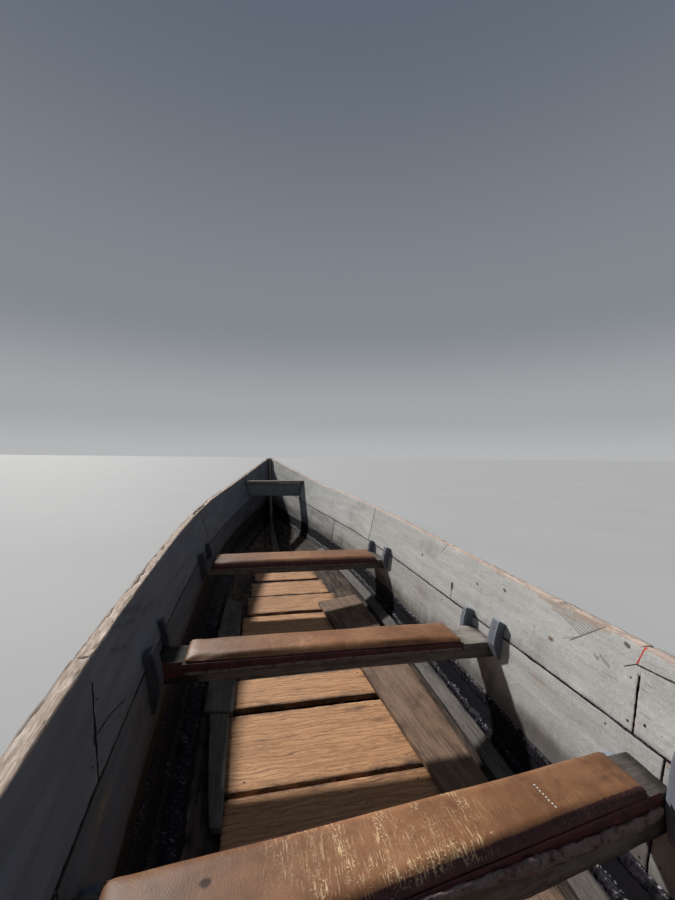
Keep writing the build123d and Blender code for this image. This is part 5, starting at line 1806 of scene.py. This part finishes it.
STEMWOOD = cad_wood("stem_wood", (0.330, 0.290, 0.250), (0.210, 0.175, 0.145), (0.090, 0.068, 0.052), "z", below=(0.04, 0.04, 0.028))
KEELWOOD = cad_wood("keel_wood", (0.170, 0.130, 0.100), (0.110, 0.080, 0.060), (0.050, 0.036, 0.028), "y")
STERNWOOD = cad_wood("stern_wood", (0.440, 0.415, 0.375), (0.330, 0.310, 0.280), (0.190, 0.165, 0.140), "x", below=(0.05, 0.05, 0.035))
TIMBERWOOD = cad_wood("timber_wood", (0.170, 0.130, 0.100), (0.110, 0.080, 0.060), (0.050, 0.036, 0.028), "x")
for name, mat in (("stem_post", STEMWOOD), ("keel", KEELWOOD), ("transom", STERNWOOD), ("stern_knee", STEMWOOD),
                  ("floor_timbers", TIMBERWOOD)):
    o = NODES[name]
    o.data.materials.clear()
    o.data.materials.append(mat)


# ---------------------------------------------------------------------------
# Stage: pale floor at the waterline, open where the hull sits in it
# ---------------------------------------------------------------------------
def waterline():
    """Half outline of the hull at z = 0, halfway through the planking."""
    out = []
    for y in np.linspace(STERN_Y, BOW_Y, 260):
        lean, sheer = float(col("lean", y)), float(col("sheer", y))
        I, O = inner_line(y), outer_line(y)
        if O[4, 1] > 0:
            break

        def cross(line):
            for p, q in zip(line[:-1], line[1:]):
                if q[1] <= 0 <= p[1]:
                    t = -p[1] / (q[1] - p[1])
                    return p[0] + (q[0] - p[0]) * t
            return None
        xi, xo = cross(I), cross(O)
        if xo is None:
            break
        xi = xo - 24.0 if xi is None else xi
        out.append((max(4.0, xi * 0.45 + xo * 0.55), y + lean * (0 - sheer)))
    return out


half = np.array(waterline()) / 1000
half = half[::2] if len(half) % 2 else np.vstack([half[::2], half[-1:]])
FAR = [1.0, 2.0, 5.0, 15.0, 50.0, 200.0]
rows = [(half[0, 0], y) for y in (-200.0, -50.0, -15.0, -7.0, -5.0)] + [tuple(r) for r in half]
rows += [(half[-1, 0], y) for y in (5.0, 7.0, 15.0, 50.0, 200.0)]
cols = np.array([[-f for f in FAR[::-1]] + [-x, x] + FAR for x, y in rows])
nc, nr = cols.shape[1], len(rows)
V = np.stack([cols, np.array([[r[1]] * nc for r in rows]), 0 * cols], -1).reshape(-1, 3)
F = []
for i in range(nr - 1):
    for j in range(nc - 1):
        if j == len(FAR) and 5 <= i < 4 + len(half):
            continue
        k = i * nc + j
        F.append((k, k + 1, k + nc + 1, k + nc))
F = np.array(F)
floor = mesh_object("floor", V, [F], smooth=False)
fs = Surface("studio_floor")
fn = fs.noise(fs.place(), 0.6, 2.0, 0.5)
floor.data.materials.append(fs.finish(fs.mix(fs.span(fn, 0.3, 0.7), (0.385, 0.388, 0.393), (0.400, 0.403, 0.408)), 0.80, None, 0.15))

# ---------------------------------------------------------------------------
# Light and camera
# ---------------------------------------------------------------------------
world = bpy.data.worlds.new("studio")
bpy.context.scene.world = world
world.use_nodes = True
wt = world.node_tree
bg = wt.nodes["Background"]
tc = wt.nodes.new("ShaderNodeTexCoord")
sx = wt.nodes.new("ShaderNodeSeparateXYZ")
ramp = wt.nodes.new("ShaderNodeValToRGB")
ramp.color_ramp.interpolation = "EASE"
stops = ramp.color_ramp.elements
stops[0].position, stops[0].color = 0.0, (0.690, 0.700, 0.710, 1)
stops[1].position, stops[1].color = 0.85, (0.160, 0.195, 0.255, 1)
for at, tint in ((0.10, (0.560, 0.575, 0.595, 1)), (0.32, (0.340, 0.370, 0.410, 1))):
    stop = stops.new(at)
    stop.color = tint
wt.links.new(tc.outputs["Generated"], sx.inputs[0])
wt.links.new(sx.outputs[2], ramp.inputs[0])
wt.links.new(ramp.outputs["Color"], bg.inputs["Color"])
bg.inputs["Strength"].default_value = 0.66

sun_dir = Vector((-0.36, 0.70, 0.615)).normalized()


sun = bpy.data.lights.new("key", "SUN")
sun.energy = 4.7
sun.angle = math.radians(3.5)
sun.color = (1.0, 0.970, 0.925)
sun_ob = bpy.data.objects.new("key", sun)
bpy.context.scene.collection.objects.link(sun_ob)
sun_ob.location = sun_dir * 12.0
sun_ob.rotation_mode = "QUATERNION"
sun_ob.rotation_quaternion = (-sun_dir).to_track_quat("-Z", "Y")

cam_data = bpy.data.cameras.new("camera")
cam_data.lens = 16.0
cam_data.sensor_width = 36.0
cam_data.sensor_fit = "AUTO"
cam_data.clip_start = 0.02
cam_data.clip_end = 400.0
cam = bpy.data.objects.new("camera", cam_data)
bpy.context.scene.collection.objects.link(cam)
R = Vector((0.9772692, -0.21170302, 0.01125844))
U = Vector((-0.01432361, -0.01295064, 0.99981354))
FW = Vector((0.21151774, 0.97724824, 0.01568862))
m = Matrix.Identity(4)
for i in range(3):
    m[i][0], m[i][1], m[i][2] = R[i], U[i], -FW[i]
m[0][3], m[1][3], m[2][3] = -0.283, -1.9, 0.940
cam.matrix_world = m
bpy.context.scene.camera = cam
bpy.context.scene.view_settings.view_transform = "Standard"
bpy.context.scene.view_settings.look = "None"
bpy.context.scene.view_settings.exposure = 0.0
